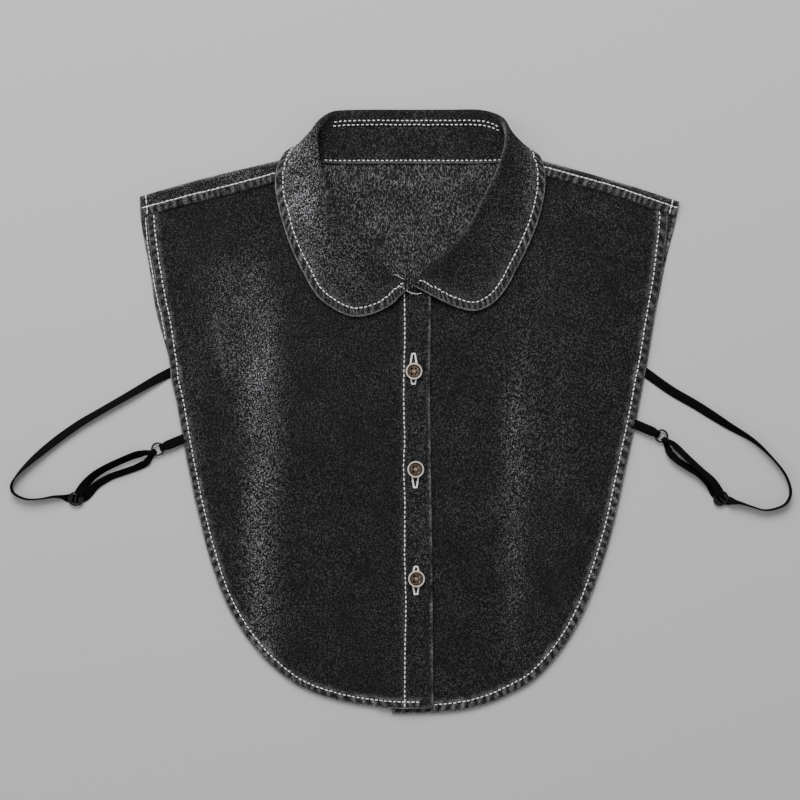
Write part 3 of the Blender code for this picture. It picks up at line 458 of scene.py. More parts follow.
def left_front_top(xy):
    gap, run = beside(front_left_edge, xy)
    fold_gap, fold_run = beside(placket_fold, xy)
    right_gap, _ = beside(front_right_edge, xy)
    x = xy[:, 0]
    over_stand = ease(x, -27 * MM, -11.5 * MM)
    over_facing = ease(x, -9 * MM, -3.4 * MM)
    over_hem = over_stand * (1 - ease(right_gap, 9.5 * MM, 12 * MM))
    height = FRONT_TOP + 1.3 * MM * over_stand + 1.1 * MM * over_facing + 1.0 * MM * over_hem
    height += hem_relief(gap, HEM_WIDTH) + hem_gathers(gap, run, HEM_WIDTH, 21)
    calm = ease(gap, 10 * MM, 30 * MM) * (1 - 0.75 * over_stand)
    height += soft_lie(xy, 31) * calm
    height += -0.8 * MM * (1 - np.clip(fold_gap / (1.1 * MM), 0, 1)) ** 2
    ditch = np.exp(-(((x - PLACKET_SEAM_X) / (0.6 * MM)) ** 2))
    across = (1 - ease(fold_gap, 14 * MM, 19 * MM)) * ease(fold_gap, 0.3 * MM, 2 * MM)
    height += -0.22 * MM * ditch * ease(gap, 3 * MM, 6 * MM)
    return height + 0.13 * MM * puckers(xy[:, 1], x, 7.5 * MM, 41) * across


def right_front_top(xy):
    gap, run = beside(front_right_edge, xy)
    calm = ease(gap, 10 * MM, 30 * MM) * ease(xy[:, 0], 16 * MM, 45 * MM)
    height = FRONT_TOP + hem_relief(gap, WIDE_HEM) + hem_gathers(gap, run, WIDE_HEM, 23)
    return height + soft_lie(xy, 37) * calm


def front_wear(edge, width, fold=None):
    """Pale scuffs on the hem's edge, on its gathers and along the folds, and broad faded bands."""

    def wear(xy):
        gap, run = beside(edge, xy)
        crest = np.clip(puckers(run, gap, 6.2 * MM, 21 if edge is front_left_edge else 23), 0, 1)
        rim = (1 - ease(gap, 0.3 * MM, 1.3 * MM)) * (0.35 + 0.55 * unevenness(run, 0, 4 * MM, 51))
        band = 0.62 * crest * ease(gap, 0.6 * MM, 1.6 * MM) * (1 - ease(gap, width - 0.8 * MM, width + 0.2 * MM))
        past = 0.34 * (1 - ease(gap, width + 0.6 * MM, width + 3 * MM)) * ease(gap, width + 0.3 * MM, width + 1 * MM)
        low_down = 0.55 + 0.45 * (1 - ease(xy[:, 1], -60 * MM, 10 * MM))
        pale = (rim + band) * low_down + past * unevenness(run, gap, 3 * MM, 53)
        if fold is not None:
            fold_gap, fold_run = beside(fold, xy)
            pale += 0.7 * (1 - ease(fold_gap, 0.3 * MM, 1.4 * MM)) * unevenness(fold_run, 0, 6 * MM, 55)
            pale += 0.07 * np.exp(-(((xy[:, 0] - PLACKET_SEAM_X) / (1.4 * MM)) ** 2))
        crease_gap, _ = beside(crease, xy)
        pale += 0.13 * (1 - ease(crease_gap, 0.2 * MM, 1.3 * MM))
        fade = faded(xy[:, 0], xy[:, 1], FRONT_FADES)
        return np.column_stack([np.clip(pale, 0, 1), fade, 0 * fade])

    return wear


def build_front_right():
    stand_edge = smooth_line(STAND_EDGE_ROWS, 6 * MM)
    tuck = smooth_line(RIGHT_TUCK_ROWS, 3 * MM)
    neck = smooth_line(RIGHT_NECK_ROWS, 3 * MM)
    outline = np.vstack([front_right_edge, stand_edge[2:], neck, tuck[::-1]])
    front = lay_cloth(
        "front_right_cloth",
        outline,
        front_right_edge,
        (0.5 * MM, 0.7 * MM, 1.4 * MM, 1.4 * MM, 0.9 * MM, 0.7 * MM, 0.8 * MM),
        SHEET_CELL,
        right_front_top,
        lambda xy: DENIM_LAYER * (1 + 0.9 * (1 - ease(beside(front_right_edge, xy)[0], 5 * MM, 7 * MM))),
        front_wear(front_right_edge, WIDE_HEM),
        denim_face,
    )
    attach(front, "root")
    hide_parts("front_right")


def build_front_left():
    tuck = smooth_line(LEFT_TUCK_ROWS, 3 * MM)
    neck = smooth_line(LEFT_NECK_ROWS, 3 * MM)
    outline = np.vstack([front_left_edge, placket_fold, neck, tuck[::-1]])

    def thickness(xy):
        gap, _ = beside(front_left_edge, xy)
        fold_gap, _ = beside(placket_fold, xy)
        folded = 1.1 * (1 - ease(fold_gap, 1.0 * MM, 1.6 * MM))
        return DENIM_LAYER * (1 + 0.9 * (1 - ease(gap, 5 * MM, 7 * MM)) + folded)

    front = lay_cloth(
        "front_left_cloth",
        outline,
        front_left_edge,
        (0.5 * MM, 0.7 * MM, 1.4 * MM, 1.4 * MM, 0.9 * MM, 0.7 * MM),
        SHEET_CELL,
        left_front_top,
        thickness,
        front_wear(front_left_edge, HEM_WIDTH, placket_fold),
        denim_face,
    )
    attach(front, "root")
    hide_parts("front_left")


build_front_right()
build_front_left()


# Yoke
# The back panel's strip of denim that comes over each shoulder to the seam, where the seam
# allowance lies under it, topstitched in white and gathered between the stitches and the seam.
YOKE_HALF_THICK = 1.8 * MM
YOKE_STITCH = 5.7 * MM  # from the seam back to the topstitch
YOKE_HEM = 4.4 * MM
DITCH_LEFT_ROWS = ((-170.6, 125.2), (-168.8, 125.8), (-140.4, 133.4), (-114.0, 139.9), (-86.9, 147.2), (-76, 150.5))
DITCH_RIGHT_ROWS = ((171.6, 125.4), (162.7, 128.4), (149.2, 133.0), (129.8, 139.6), (107.9, 145.8), (89.2, 150.9), (79, 153.6))
YOKE_ACROSS = 30
YOKE_PITCH = 4.6 * MM
YOKE_SLANT = 0.4


def loft(name, rows, surface, wear=None):
    """A closed shell through rows of points that each go round a section, its ends closed."""
    count, around, _ = rows.shape
    faces = []
    for k in range(count - 1):
        for j in range(around):
            n = (j + 1) % around
            faces.append((k * around + j, k * around + n, (k + 1) * around + n, (k + 1) * around + j))
    half = around // 2
    for base, turn in ((0, -1), ((count - 1) * around, 1)):
        for j in range(half - 1):
            faces.append(tuple(base + i for i in (j, j + 1, around - 2 - j, around - 1 - j)[::turn]))
    return add_mesh(name, rows.reshape(-1, 3), faces, surface, wear)


def tidy_normals(made):
    """Turns every face of a closed piece outwards."""
    bm = bmesh.new()
    bm.from_mesh(made.data)
    bmesh.ops.recalc_face_normals(bm, faces=bm.faces[:])
    bm.to_mesh(made.data)
    bm.free()


def build_yoke(side, fold, ditch_rows, seed):
    step = 1.1 * MM
    count = round(travelled(fold)[-1] / step)
    fold = evenly(fold, travelled(fold)[-1] / count)
    ditch = smooth_line(ditch_rows, 1 * MM)
    ditch = evenly(ditch, travelled(ditch)[-1] / (len(fold) - 1))[: len(fold)]
    inward = ditch - fold
    width = np.linalg.norm(inward, axis=1)
    inward /= width[:, None]
    run = travelled(fold)
    outer, inner, worn = [], [], []
    for k in range(YOKE_ACROSS + 6):
        if k < 6:
            angle = math.pi * k / 6
            reach = np.full(len(fold), YOKE_HALF_THICK * (1 - math.sin(angle)))
            height = np.full(len(fold), YOKE_HALF_THICK * (1 - math.cos(angle)))
            slant = np.array([-math.sin(angle), -math.cos(angle)])
        else:
            share = (k - 5) / YOKE_ACROSS
            reach = YOKE_HALF_THICK + (width - YOKE_HALF_THICK) * share
            height = np.full(len(fold), 2 * YOKE_HALF_THICK)
            slant = np.array([0.0, 1.0])
        from_seam = width - reach
        gathers = ease(from_seam, -0.2 * MM, 1 * MM) * (1 - ease(from_seam, YOKE_STITCH - 0.8 * MM, YOKE_STITCH + 0.3 * MM))
        past = 0.45 * ease(from_seam, YOKE_STITCH, YOKE_STITCH + 1 * MM) * (1 - ease(from_seam, YOKE_STITCH + 2 * MM, YOKE_STITCH + 6 * MM))
        wave = puckers(run, YOKE_SLANT * from_seam, YOKE_PITCH, seed)
        if k >= 3:
            height = height + (0.4 * gathers + 0.3 * past) * MM * wave
            height = height - 0.3 * MM * np.exp(-(((from_seam - YOKE_STITCH) / (0.5 * MM)) ** 2))
            height = height + 0.45 * MM * gathers - 1.1 * MM * (1 - np.clip(from_seam / (1.0 * MM), 0, 1)) ** 2
        spot = fold + inward * reach[:, None]
        outer.append(np.column_stack([spot, height]))
        thin = np.minimum(DENIM_LAYER, 0.9 * MM)
        under = spot - inward * (slant[0] * thin) * (1 if k < 6 else 0)
        inner.append(np.column_stack([under, height - slant[1] * thin]))
        if k >= 3:
            end = 1 - ease(run, YOKE_HEM + 0.2 * MM, YOKE_HEM + 1.2 * MM)
            height = height + 0.5 * MM * end - 0.35 * MM * np.exp(-(((run - YOKE_HEM) / (0.5 * MM)) ** 2))
        rim = 0.45 * (1 - ease(np.abs(reach - 0.3 * MM), 0, 1.4 * MM)) * unevenness(run, 0, 6 * MM, seed + 5)
        rim = rim + 0.6 * (1 - ease(run, 0.3 * MM, 1.3 * MM)) * unevenness(reach, 0, 3 * MM, seed + 8)
        crest = 0.36 * np.clip(wave, 0, 1) * gathers
        seam = 0.3 * (1 - ease(from_seam, 0.3 * MM, 1.1 * MM)) * unevenness(run, 0, 4 * MM, seed + 6)
        fade = 0.3 * unevenness(spot[:, 0], spot[:, 1], 9 * MM, seed + 7) * (1 - 0.7 * gathers)
        worn.append(np.column_stack([rim + crest + seam, fade, 0 * fade]))
    rows = np.concatenate([np.stack(outer, axis=1), np.stack(inner[::-1], axis=1)], axis=1)
    marks = np.concatenate([np.stack(worn, axis=1), np.stack(worn[::-1], axis=1)], axis=1)
    yoke = loft(f"yoke_{side}_strip", rows, denim_face, marks.reshape(-1, 3))
    tidy_normals(yoke)
    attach(yoke, "root")
    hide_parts("back_panel")
    line = ditch - inward * YOKE_STITCH
    wave = puckers(run, np.full(len(run), YOKE_SLANT * YOKE_STITCH), YOKE_PITCH, seed)
    seam_row = np.column_stack([line, 2 * YOKE_HALF_THICK - 0.12 * MM + 0.1 * MM * wave])
    station = np.argmin(np.abs(run - YOKE_HEM))
    hem_row = evenly(rows[station, 4 : YOKE_ACROSS + 4], 1 * MM)
    return seam_row, hem_row


yoke_stitch_left, yoke_hem_left = build_yoke("left", shoulder_left, DITCH_LEFT_ROWS, 61)
yoke_stitch_right, yoke_hem_right = build_yoke("right", shoulder_right, DITCH_RIGHT_ROWS, 71)


# Collar stand and leaf
# A band of denim rises from the neck seam and the two-ply leaf rolls over it. At the back the leaf
# goes down behind, under the back panel; at the front both halves fall on the fronts, edges rounded.
STAND_THICK = 1.2 * MM
LEAF_THICK = 1.6 * MM
STAND_SHARE = 0.68
ROLL_RADIUS = 1.6 * MM
LEAF_STITCH = 5.9 * MM
LEAF_STATIONS = 430
NECK_SEAM_ROWS = (
    (-3, 77.1, 5.6), (-10.1, 73.9, 5.2), (-19.8, 73.9, 3.9), (-30.1, 77.7, 3.6),
    (-39.8, 84.8, 3.6), (-48.2, 94.5, 3.6), (-55.9, 107.4, 3.6), (-62.4, 120.9, 3.7),
    (-67.5, 133.8, 4), (-71.4, 144.8, 4.4), (-74, 153.8, 4.8), (-74.6, 160.3, 4.8),
    (-71.4, 163.5, 4.4), (-65, 162.9, 4.2), (-57.2, 161.6, 3.9), (-45.6, 160.9, 3.8),
    (-28.2, 160.9, 3.8), (0, 160.9, 3.8), (27.9, 160.9, 3.8), (47.3, 160.9, 3.8),
    (60.8, 161.6, 3.9), (69.2, 162.9, 4.2), (74.4, 162.9, 4.4), (76.9, 158.3, 4.8),
    (76.3, 150.6, 4.8), (73.1, 140.9, 4.4), (67.9, 130, 4), (61.5, 117.7, 3.7),
    (53.7, 105.5, 3.6), (46, 95.1, 3.6), (37, 86.8, 3.6), (27.3, 80.9, 3.6),
    (18.9, 77.7, 3.8), (17.6, 76.4, 4.4), (13.7, 75.8, 5.6),
)
ROLL_ROWS = (
    (0.2, 82.9, 6), (-6.3, 85.5, 6.8), (-12.7, 90, 8), (-22.4, 99.7, 9.5),
    (-30.1, 107.4, 10.5), (-36.6, 114.5, 11), (-43.7, 123.5, 12), (-48.2, 134.5, 13),
    (-52.1, 144.8, 14), (-55.3, 154.5, 15), (-57.2, 164.2, 15.5), (-57.9, 172.5, 15),
    (-57.2, 179.6, 14), (-53.3, 186.1, 11), (-48.2, 191.2, 8), (-41.1, 192.9, 5.5),
    (-25, 193.5, 4.3), (0, 193.5, 4), (26.6, 193.5, 4.3), (44.7, 193.2, 5.5),
    (55, 190, 8), (58.9, 184.1, 11), (60.8, 177.7, 14), (60.8, 170.6, 15),
    (58.9, 162.9, 15.5), (55.7, 153.2, 15), (51.1, 143.5, 14), (46, 133.2, 13),
    (40.8, 122.9, 12), (34.4, 113.2, 11), (26, 104.2, 10), (18.3, 96.4, 9),
    (11.8, 90.6, 8), (7.3, 86.8, 7.6), (3.4, 84.2, 7),
)
LEAF_EDGE_ROWS = (
    (0.2, 79, 8.4), (-5, 74.5, 7.6), (-12.1, 68, 6), (-23, 62.9, 4.2),
    (-35.3, 61, 3.9), (-47.5, 65.5, 3.9), (-58.5, 73.9, 3.9), (-66.9, 87.4, 3.9),
    (-74.6, 102.9, 4), (-79.8, 117.1, 4.3), (-84.3, 134.5, 5), (-85.6, 147.4, 5.4),
    (-83.7, 158.3, 5.2), (-77.1, 167.4, 2.5), (-65.2, 161.4, 0.9), (-50.6, 154.6, 0.9),
    (-28.2, 148.7, 0.9), (0, 147.4, 0.9), (27.9, 148.7, 0.9), (51.6, 154.6, 0.9),
    (65.1, 161, 0.9), (81.4, 165.6, 2.5), (86.6, 157.1, 5.2), (87.6, 146.7, 5.4),
    (86, 133.8, 5), (82.1, 119.6, 4.3), (76.3, 105.5, 4), (69.2, 91.3, 3.9),
    (62.1, 78.4, 3.9), (53.7, 69.3, 3.9), (43.4, 64.8, 3.9), (31.2, 66.8, 4.2),
    (18.3, 72.6, 6), (7.3, 78.4, 7.8), (3.4, 80.6, 8.4),
)
LEAF_FADES = (
    (-72, 152, 13, 32, 0.95),
    (-62, 122, 12, 34, 0.45),
    (-44, 94, 24, 28, 0.28),
    (78, 150, 10, 30, 0.2),
    (60, 100, 24, 40, 0.1),
)
LEAF_DEPTHS = (0, 0.35, 0.8, 1.4, 2.1, 2.9, 3.7, 4.4, 4.9, 5.3, 5.7, 6.2, 6.9, 7.8, 9, 10.5, 12.3, 14.5, 17, 20, 23.5)


def at_turn(rows, turns):
    """Points of a neck line at shares of the way round, in metres."""
    table = np.array(rows, float) * MM
    padded = np.vstack([2 * table[0] - table[1], table, 2 * table[-1] - table[-2]])
    place = np.clip(turns, 0, 1) * (len(table) - 1)
    i = np.minimum(place.astype(int), len(table) - 2)
    t = (place - i)[:, None]
    a, b, c, d = (padded[i + k] for k in range(4))
    return 0.5 * (2 * b + (c - a) * t + (2 * a - 5 * b + 4 * c - d) * t**2 + (3 * b - a - 3 * c + d) * t**3)


def neck_frames(turns):
    """Seam, roll, the way up the stand and the way out of the neck, at each turn."""
    seam = at_turn(NECK_SEAM_ROWS, turns)
    roll = at_turn(ROLL_ROWS, turns)
    up = unit(roll - seam)
    ahead = at_turn(ROLL_ROWS, turns + 0.012) - at_turn(ROLL_ROWS, turns - 0.012)
    out = unit(np.cross(up, ahead))
    return seam, roll, up, out


def section_out(points, around):
    """The way out of a wall at each point of its sections."""
    heading = np.gradient(points, axis=1)
    return unit(np.cross(heading, around[:, None, :]))


def leaf_middle(turns):
    """The leaf's middle surface: the strip inside the roll, the roll, and the fall to the edge."""
    seam, roll, up, out = neck_frames(turns)
    height = np.linalg.norm(roll - seam, axis=1)
    start = height * STAND_SHARE + 0.4 * MM
    reach = height - ROLL_RADIUS
    columns = [seam + up * (start + (reach - start) * share)[:, None] for share in np.linspace(0, 1, 7)[:-1]]
    centre = seam + up * reach[:, None] + out * ROLL_RADIUS
    for angle in np.linspace(0, math.pi, 9):
        columns.append(centre + (up * math.sin(angle) - out * math.cos(angle)) * ROLL_RADIUS)
    first = columns[-1]
    edge = at_turn(LEAF_EDGE_ROWS, turns)
    fall = np.linalg.norm(edge - first, axis=1)
    bend = first - up * (0.42 * fall)[:, None]
    low = 1 - ease(edge[:, 2], 1 * MM, 4 * MM)
    bend[:, 2] += (edge[:, 2] - bend[:, 2]) * low
    t = np.linspace(0, 1, 60)[None, :, None]
    curve = first[:, None] * (1 - t) ** 2 + bend[:, None] * 2 * t * (1 - t) + edge[:, None] * t**2
    steps = np.linalg.norm(np.diff(curve, axis=1), axis=2)
    from_edge = np.concatenate([np.cumsum(steps[:, ::-1], axis=1)[:, ::-1], np.zeros((len(turns), 1))], axis=1)
    fall_length = from_edge[:, 0]
    along = unit(np.gradient(edge, axis=0))
    square = np.clip(np.linalg.norm(np.cross(along, unit(curve[:, -12] - edge)), axis=1), 0.4, 1)
    depths = np.array(LEAF_DEPTHS) * MM
    scale = np.minimum(1 / square, 0.87 * fall_length / depths[-1])
    rest = np.linspace(0, 1, 14)[1:-1]
    wanted = [depths[k] * scale for k in range(len(depths))]
    wanted += [depths[-1] * scale + (fall_length - depths[-1] * scale) * share for share in rest]
    wanted = np.stack(wanted[::-1], axis=1)
    falls = np.empty((len(turns), wanted.shape[1], 3))
    for k in range(len(turns)):
        for axis in range(3):
            falls[k, :, axis] = np.interp(wanted[k], from_edge[k, ::-1], curve[k, ::-1, axis])
    strip = np.stack(columns, axis=1)
    middle = np.concatenate([strip, falls], axis=1)
    depth = np.concatenate([np.full(strip.shape[:2], 1.0), wanted * square[:, None]], axis=1)
    return middle, depth, unit(np.cross(up, out))


leaf_turns = np.linspace(0, 1, LEAF_STATIONS)
leaf_run = travelled(at_turn(LEAF_EDGE_ROWS, leaf_turns))


def leaf_gathers(turns, run, depth):
    """Gathers in the leaf's stitched edge: close at the rounded fronts, wider along the sides."""
    close = np.maximum(1 - ease(turns, 0.13, 0.24), ease(turns, 0.76, 0.87))
    phase = 1.7 * unevenness(run, 0, 17 * MM, 81)
    wide = np.sin(2 * np.pi * (run / (6.6 * MM) + phase) + depth / (5.5 * MM))
    tight = np.sin(2 * np.pi * (run / (3.3 * MM) + 1.3 * phase) + depth / (6 * MM))
    return (wide * (1 - close) + tight * close) * (0.35 + 0.65 * unevenness(run, depth, 8 * MM, 83))


def build_leaf():
    middle, depth, around = leaf_middle(leaf_turns)
    out = section_out(middle, around)
    turns = np.repeat(leaf_turns[:, None], middle.shape[1], axis=1)
    run = np.repeat(leaf_run[:, None], middle.shape[1], axis=1)
    near = depth < 0.5
    gathers = leaf_gathers(turns.ravel(), run.ravel(), np.where(near, depth, 0).ravel()).reshape(depth.shape)
    inner = ease(depth, 0.2 * MM, 1.2 * MM) * (1 - ease(depth, LEAF_STITCH - 0.9 * MM, LEAF_STITCH))
    past = 0.5 * ease(depth, LEAF_STITCH, LEAF_STITCH + 1 * MM) * (1 - ease(depth, LEAF_STITCH + 2 * MM, LEAF_STITCH + 9 * MM))
    lift = (0.5 * inner + 0.4 * past) * MM * gathers
    lift += 0.3 * MM * (1 - ease(depth, LEAF_STITCH, LEAF_STITCH + 1.5 * MM))
    lift += -0.34 * MM * np.exp(-(((depth - LEAF_STITCH) / (0.5 * MM)) ** 2))
    swell = unevenness(middle[..., 0], middle[..., 1], 19 * MM, 85) - 0.5
    lift += 0.9 * MM * swell * ease(depth, 7 * MM, 16 * MM) * near
    half = LEAF_THICK / 2 * (1 - 0.75 * (1 - np.clip(depth / (0.8 * MM), 0, 1)) ** 2)
    upper = middle + out * (half + lift)[..., None]
    lower = middle - out * half[..., None]
    rim = (1 - ease(depth, 0.3 * MM, 1.2 * MM)) * (0.45 + 0.5 * unevenness(run, 0, 4 * MM, 87))
    crest = 0.42 * np.clip(gathers, 0, 1) * inner
    beyond = 0.2 * past * unevenness(run, depth, 3 * MM, 88)
    fade = faded(middle[..., 0], middle[..., 1], LEAF_FADES) * (1 - 0.8 * inner)
    fold = 0.3 * ease(turns, 0.6, 0.64) * (1 - ease(turns, 0.82, 0.88))
    folded = fold * np.exp(-(((np.arange(middle.shape[1]) - 9.5) / 1.2) ** 2))
    marks = np.stack([rim + crest + beyond + folded, fade, 0 * fade], axis=-1)
    rows = np.concatenate([upper, lower[:, ::-1]], axis=1)
    rows[..., 2] = np.maximum(rows[..., 2], 0.02 * MM)
    worn = np.concatenate([marks, marks[:, ::-1]], axis=1)
    leaf = loft("collar_leaf_cloth", rows, denim_face, worn.reshape(-1, 3))
    tidy_normals(leaf)
    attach(leaf, "root")
    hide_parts("collar_leaf")
    return upper, out, depth


def build_stand():
    turns = np.linspace(0, 0.945, 240)
    seam, roll, up, out = neck_frames(turns)
    height = np.linalg.norm(roll - seam, axis=1) * STAND_SHARE
    shares = np.linspace(0, 1, 16)
    low = -1.4 * MM
    middle = np.stack([seam + up * (low + (height - low) * share)[:, None] for share in shares], axis=1)
    reach = np.stack([low + (height - low) * share for share in shares], axis=1)
    run = np.repeat(travelled(seam)[:, None], 16, axis=1)
    lift = 0.25 * MM * puckers(run.ravel(), reach.ravel(), 9 * MM, 91).reshape(run.shape) * (1 - ease(reach, 2 * MM, 8 * MM))
    half = STAND_THICK / 2
    front = middle - out[:, None] * (half + lift)[..., None]
    behind = middle + out[:, None] * half
    pale = 0.6 * (1 - ease(reach - low, 0.2 * MM, 1.0 * MM))
    fade = 0.05 * unevenness(run, reach, 10 * MM, 93)
    marks = np.stack([pale, fade, 0 * fade], axis=-1)
    rows = np.concatenate([front, behind[:, ::-1]], axis=1)
    worn = np.concatenate([marks, marks[:, ::-1]], axis=1)
    stand = loft("collar_stand_cloth", rows, denim_face, worn.reshape(-1, 3))
    tidy_normals(stand)
    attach(stand, "root")
    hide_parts("collar_stand")


leaf_upper, leaf_out, leaf_depth = build_leaf()
build_stand()


# Topstitching
# White spun thread, 3 mm a stitch, sunk a little in the cloth: round both hems, down the placket,
# over the yokes, round the leaf's edge and in two rows along the stand.
STITCH_PITCH = 3.0 * MM
STITCH_LENGTH = 2.15 * MM
THREAD_WIDTH = 0.78 * MM
STITCH_PROFILE = ((-0.5, 0.35), (-0.36, 0.85), (0.0, 1.0), (0.36, 0.85), (0.5, 0.35))
THREAD_SIDES = 6


def thread_surface(name, colour, sheen):
    made, tree, shader = new_surface(name)
    coords = node(tree, "ShaderNodeTexCoord")
    fibres = node(tree, "ShaderNodeTexNoise", {"Scale": 1 / (0.35 * MM), "Detail": 2.0}, {"Vector": coords.outputs["Object"]})
    bump = node(tree, "ShaderNodeBump", {"Strength": 0.6, "Distance": 0.1 * MM}, {"Height": fibres.outputs["Fac"]})
    tree.links.new(bump.outputs[0], shader.inputs["Normal"])
    shader.inputs["Base Color"].default_value = linear(colour)
    shader.inputs["Roughness"].default_value = 0.75
    shader.inputs["Sheen Weight"].default_value = sheen
    return made


white_thread = thread_surface("thread_white_cotton", "#fdfcfa", 0.0)


def sew(line, ups, seed, pitch=STITCH_PITCH, length=STITCH_LENGTH, width=THREAD_WIDTH, wander=0.12 * MM):
    """Stitches along a line of points: rows of short, flattened lengths of thread."""
    rng = np.random.default_rng(seed)
    run = travelled(line)
    count = max(1, int(run[-1] / pitch))
    points, faces = [], []
    for k in range(count):
        at = (k + 0.5) * run[-1] / count
        ends = [np.array([np.interp(at + o, run, line[:, a]) for a in range(3)]) for o in (-0.3 * MM, 0.3 * MM)]
        middle = (ends[0] + ends[1]) / 2
        up = unit(np.array([np.interp(at, run, ups[:, a]) for a in range(3)]))
        heading = unit(ends[1] - ends[0] + rng.normal(0, 0.035 * MM, 3))
        across = unit(np.cross(up, heading))
        up = np.cross(heading, across)
        middle = middle + across * rng.normal(0, wander * 0.5)
        long = length * rng.uniform(0.88, 1.08)
        thick = width * rng.uniform(0.88, 1.12)
        base = len(points)
        for share, girth in STITCH_PROFILE:
            for j in range(THREAD_SIDES):
                angle = 2 * math.pi * j / THREAD_SIDES
                ring = across * math.cos(angle) + up * math.sin(angle) * 0.7
                points.append(middle + heading * share * long + ring * girth * thick / 2)
        rings = len(STITCH_PROFILE)
        for r in range(rings - 1):
            for j in range(THREAD_SIDES):
                n = (j + 1) % THREAD_SIDES
                a = base + r * THREAD_SIDES
                faces.append((a + j, a + n, a + THREAD_SIDES + n, a + THREAD_SIDES + j))
        faces.append(tuple(base + j for j in range(THREAD_SIDES))[::-1])
        faces.append(tuple(base + (rings - 1) * THREAD_SIDES + j for j in range(THREAD_SIDES)))
    return points, faces


def add_stitches(name, rows, *nodes):
    """Joins rows of stitches, each a line, its upward directions and a seed, in one piece."""
    points, faces = [], []
    for row in rows:
        some_points, some_faces = sew(*row[:3], **(row[3] if len(row) > 3 else {}))
        faces += [tuple(index + len(points) for index in face) for face in some_faces]
        points += some_points
    made = add_mesh(name, points, faces, white_thread)
    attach(made, "root")
    return made


def upward(line):
    return np.tile([0.0, 0.0, 1.0], (len(line), 1))


def on_cloth(flat, top, sink):
    """A flat line laid on a front's upper face, a little sunk."""
    return np.column_stack([flat, top(flat) - sink])


PLACKET_STITCH_ROWS = (
    (-2.7, 76), (-2.5, 46), (-3.2, 20), (-3.1, 0), (-2.6, -18.4), (-3.3, -37.7),
    (-2.4, -57), (-2.6, -90), (-1.8, -124), (-2.3, -150), (-2.6, -190),
)
BACK_STITCH_ROWS = (
    (-169.9, 128.7), (-168.5, 111.5), (-166.5, 98), (-162.5, 76), (-159.0, 59.9), (-156.5, 46),
)
NECK_END_ROWS = (
    ((-10.4, 87.4), (-7.6, 87.2), (-5.0, 85.6), (-2.2, 84.6)),
    ((-6.0, 80.0), (-4.2, 79.6), (-2.4, 78.2)),
)


def on_leaf(rows):
    """A line on the leaf's upper face, from places in millimetres, and its upward directions."""
    line = smooth_line(rows, 0.5 * MM)
    flat = leaf_upper[:, 8:].reshape(-1, 3)
    ways = leaf_out[:, 8:].reshape(-1, 3)
    spots = [np.argmin(np.linalg.norm(flat[:, :2] - spot, axis=1)) for spot in line]
    heights = [flat[spot, 2] + 0.15 * MM for spot in spots]
    return np.column_stack([line, heights]), np.array([ways[spot] for spot in spots])


def build_topstitching():
    sink = -0.12 * MM
    left_hem = inset_line(front_left_edge, HEM_WIDTH)
    left_hem = left_hem[left_hem[:, 0] < 14.2 * MM]
    right_hem = inset_line(front_right_edge, WIDE_HEM)
    right_hem = right_hem[right_hem[:, 0] > 15.5 * MM]
    placket = smooth_line(PLACKET_STITCH_ROWS, 1.5 * MM)
    add_stitches(
        "stitching_fronts",
        (
            (on_cloth(left_hem, left_front_top, sink), upward(left_hem), 1),
            (on_cloth(placket, left_front_top, sink), upward(placket), 2),
            (on_cloth(right_hem, right_front_top, sink), upward(right_hem), 3),
        ),
    )
    back_hem = smooth_line(BACK_STITCH_ROWS, 1 * MM)
    back_line = np.column_stack([back_hem, np.full(len(back_hem), BACK_TOP + 0.5 * MM)])
    add_stitches("stitching_back", ((back_line, upward(back_hem), 18, {"length": 2.7 * MM, "width": 0.6 * MM}),))
    lifted = np.array([0, 0, 0.12 * MM])
    visible_left = yoke_stitch_left[yoke_stitch_left[:, 0] < -76 * MM]
    visible_right = yoke_stitch_right[yoke_stitch_right[:, 0] > 78 * MM]
    add_stitches(
        "stitching_yokes",
        (
            (visible_left + lifted, upward(visible_left), 4, {"length": 2.85 * MM}),
            (visible_right + lifted, upward(visible_right), 5, {"length": 2.85 * MM}),
            (yoke_hem_left + lifted, upward(yoke_hem_left), 14, {"length": 2.85 * MM}),
            (yoke_hem_right + lifted, upward(yoke_hem_right), 15, {"length": 2.85 * MM}),
        ),
    )
    edge_rows = []
    for seed, shown in ((6, (leaf_turns > 0.012) & (leaf_turns < 0.40)), (7, (leaf_turns > 0.60) & (leaf_turns < 0.988))):
        line, ups = [], []
        for k in np.nonzero(shown)[0]:
            place = np.argmin(np.abs(leaf_depth[k] - LEAF_STITCH))
            line.append(leaf_upper[k, place] + leaf_out[k, place] * 0.12 * MM)
            ups.append(leaf_out[k, place])
        edge_rows.append((np.array(line), np.array(ups), seed))
    add_stitches("stitching_leaf", edge_rows)
    turns = np.linspace(0.418, 0.596, 80)
    seam, roll, up, out = neck_frames(turns)
    height = np.linalg.norm(roll - seam, axis=1)
    band_rows = []
    for seed, below, skin in ((8, 6.6 * MM, LEAF_THICK), (9, 9.3 * MM, LEAF_THICK)):
        line = seam + up * (height - below)[:, None] - out * (skin / 2 + 0.08 * MM)
        band_rows.append((line, -out, seed, {"length": 1.8 * MM}))
    line = seam + up * 0.4 * MM - out * (STAND_THICK / 2 + 0.1 * MM)
    band_rows.append((line, -out, 10, {"length": 1.8 * MM}))
    add_stitches("stitching_stand", band_rows)
    neck_line = smooth_line(((-2.6, 79.0, 8.9), (-1.0, 77.2, 8.7), (1.6, 76.0, 7.2), (5, 75.6, 6.2), (8.4, 75.8, 6.0)), 0.5 * MM)
    small = {"pitch": 1.7 * MM, "length": 1.5 * MM, "width": 0.55 * MM}
    ends = [(neck_line, upward(neck_line), 12, small)]
    ends += [(*on_leaf(rows), 16 + k, small) for k, rows in enumerate(NECK_END_ROWS)]
    add_stitches("stitching_neck_end", ends)


build_topstitching()


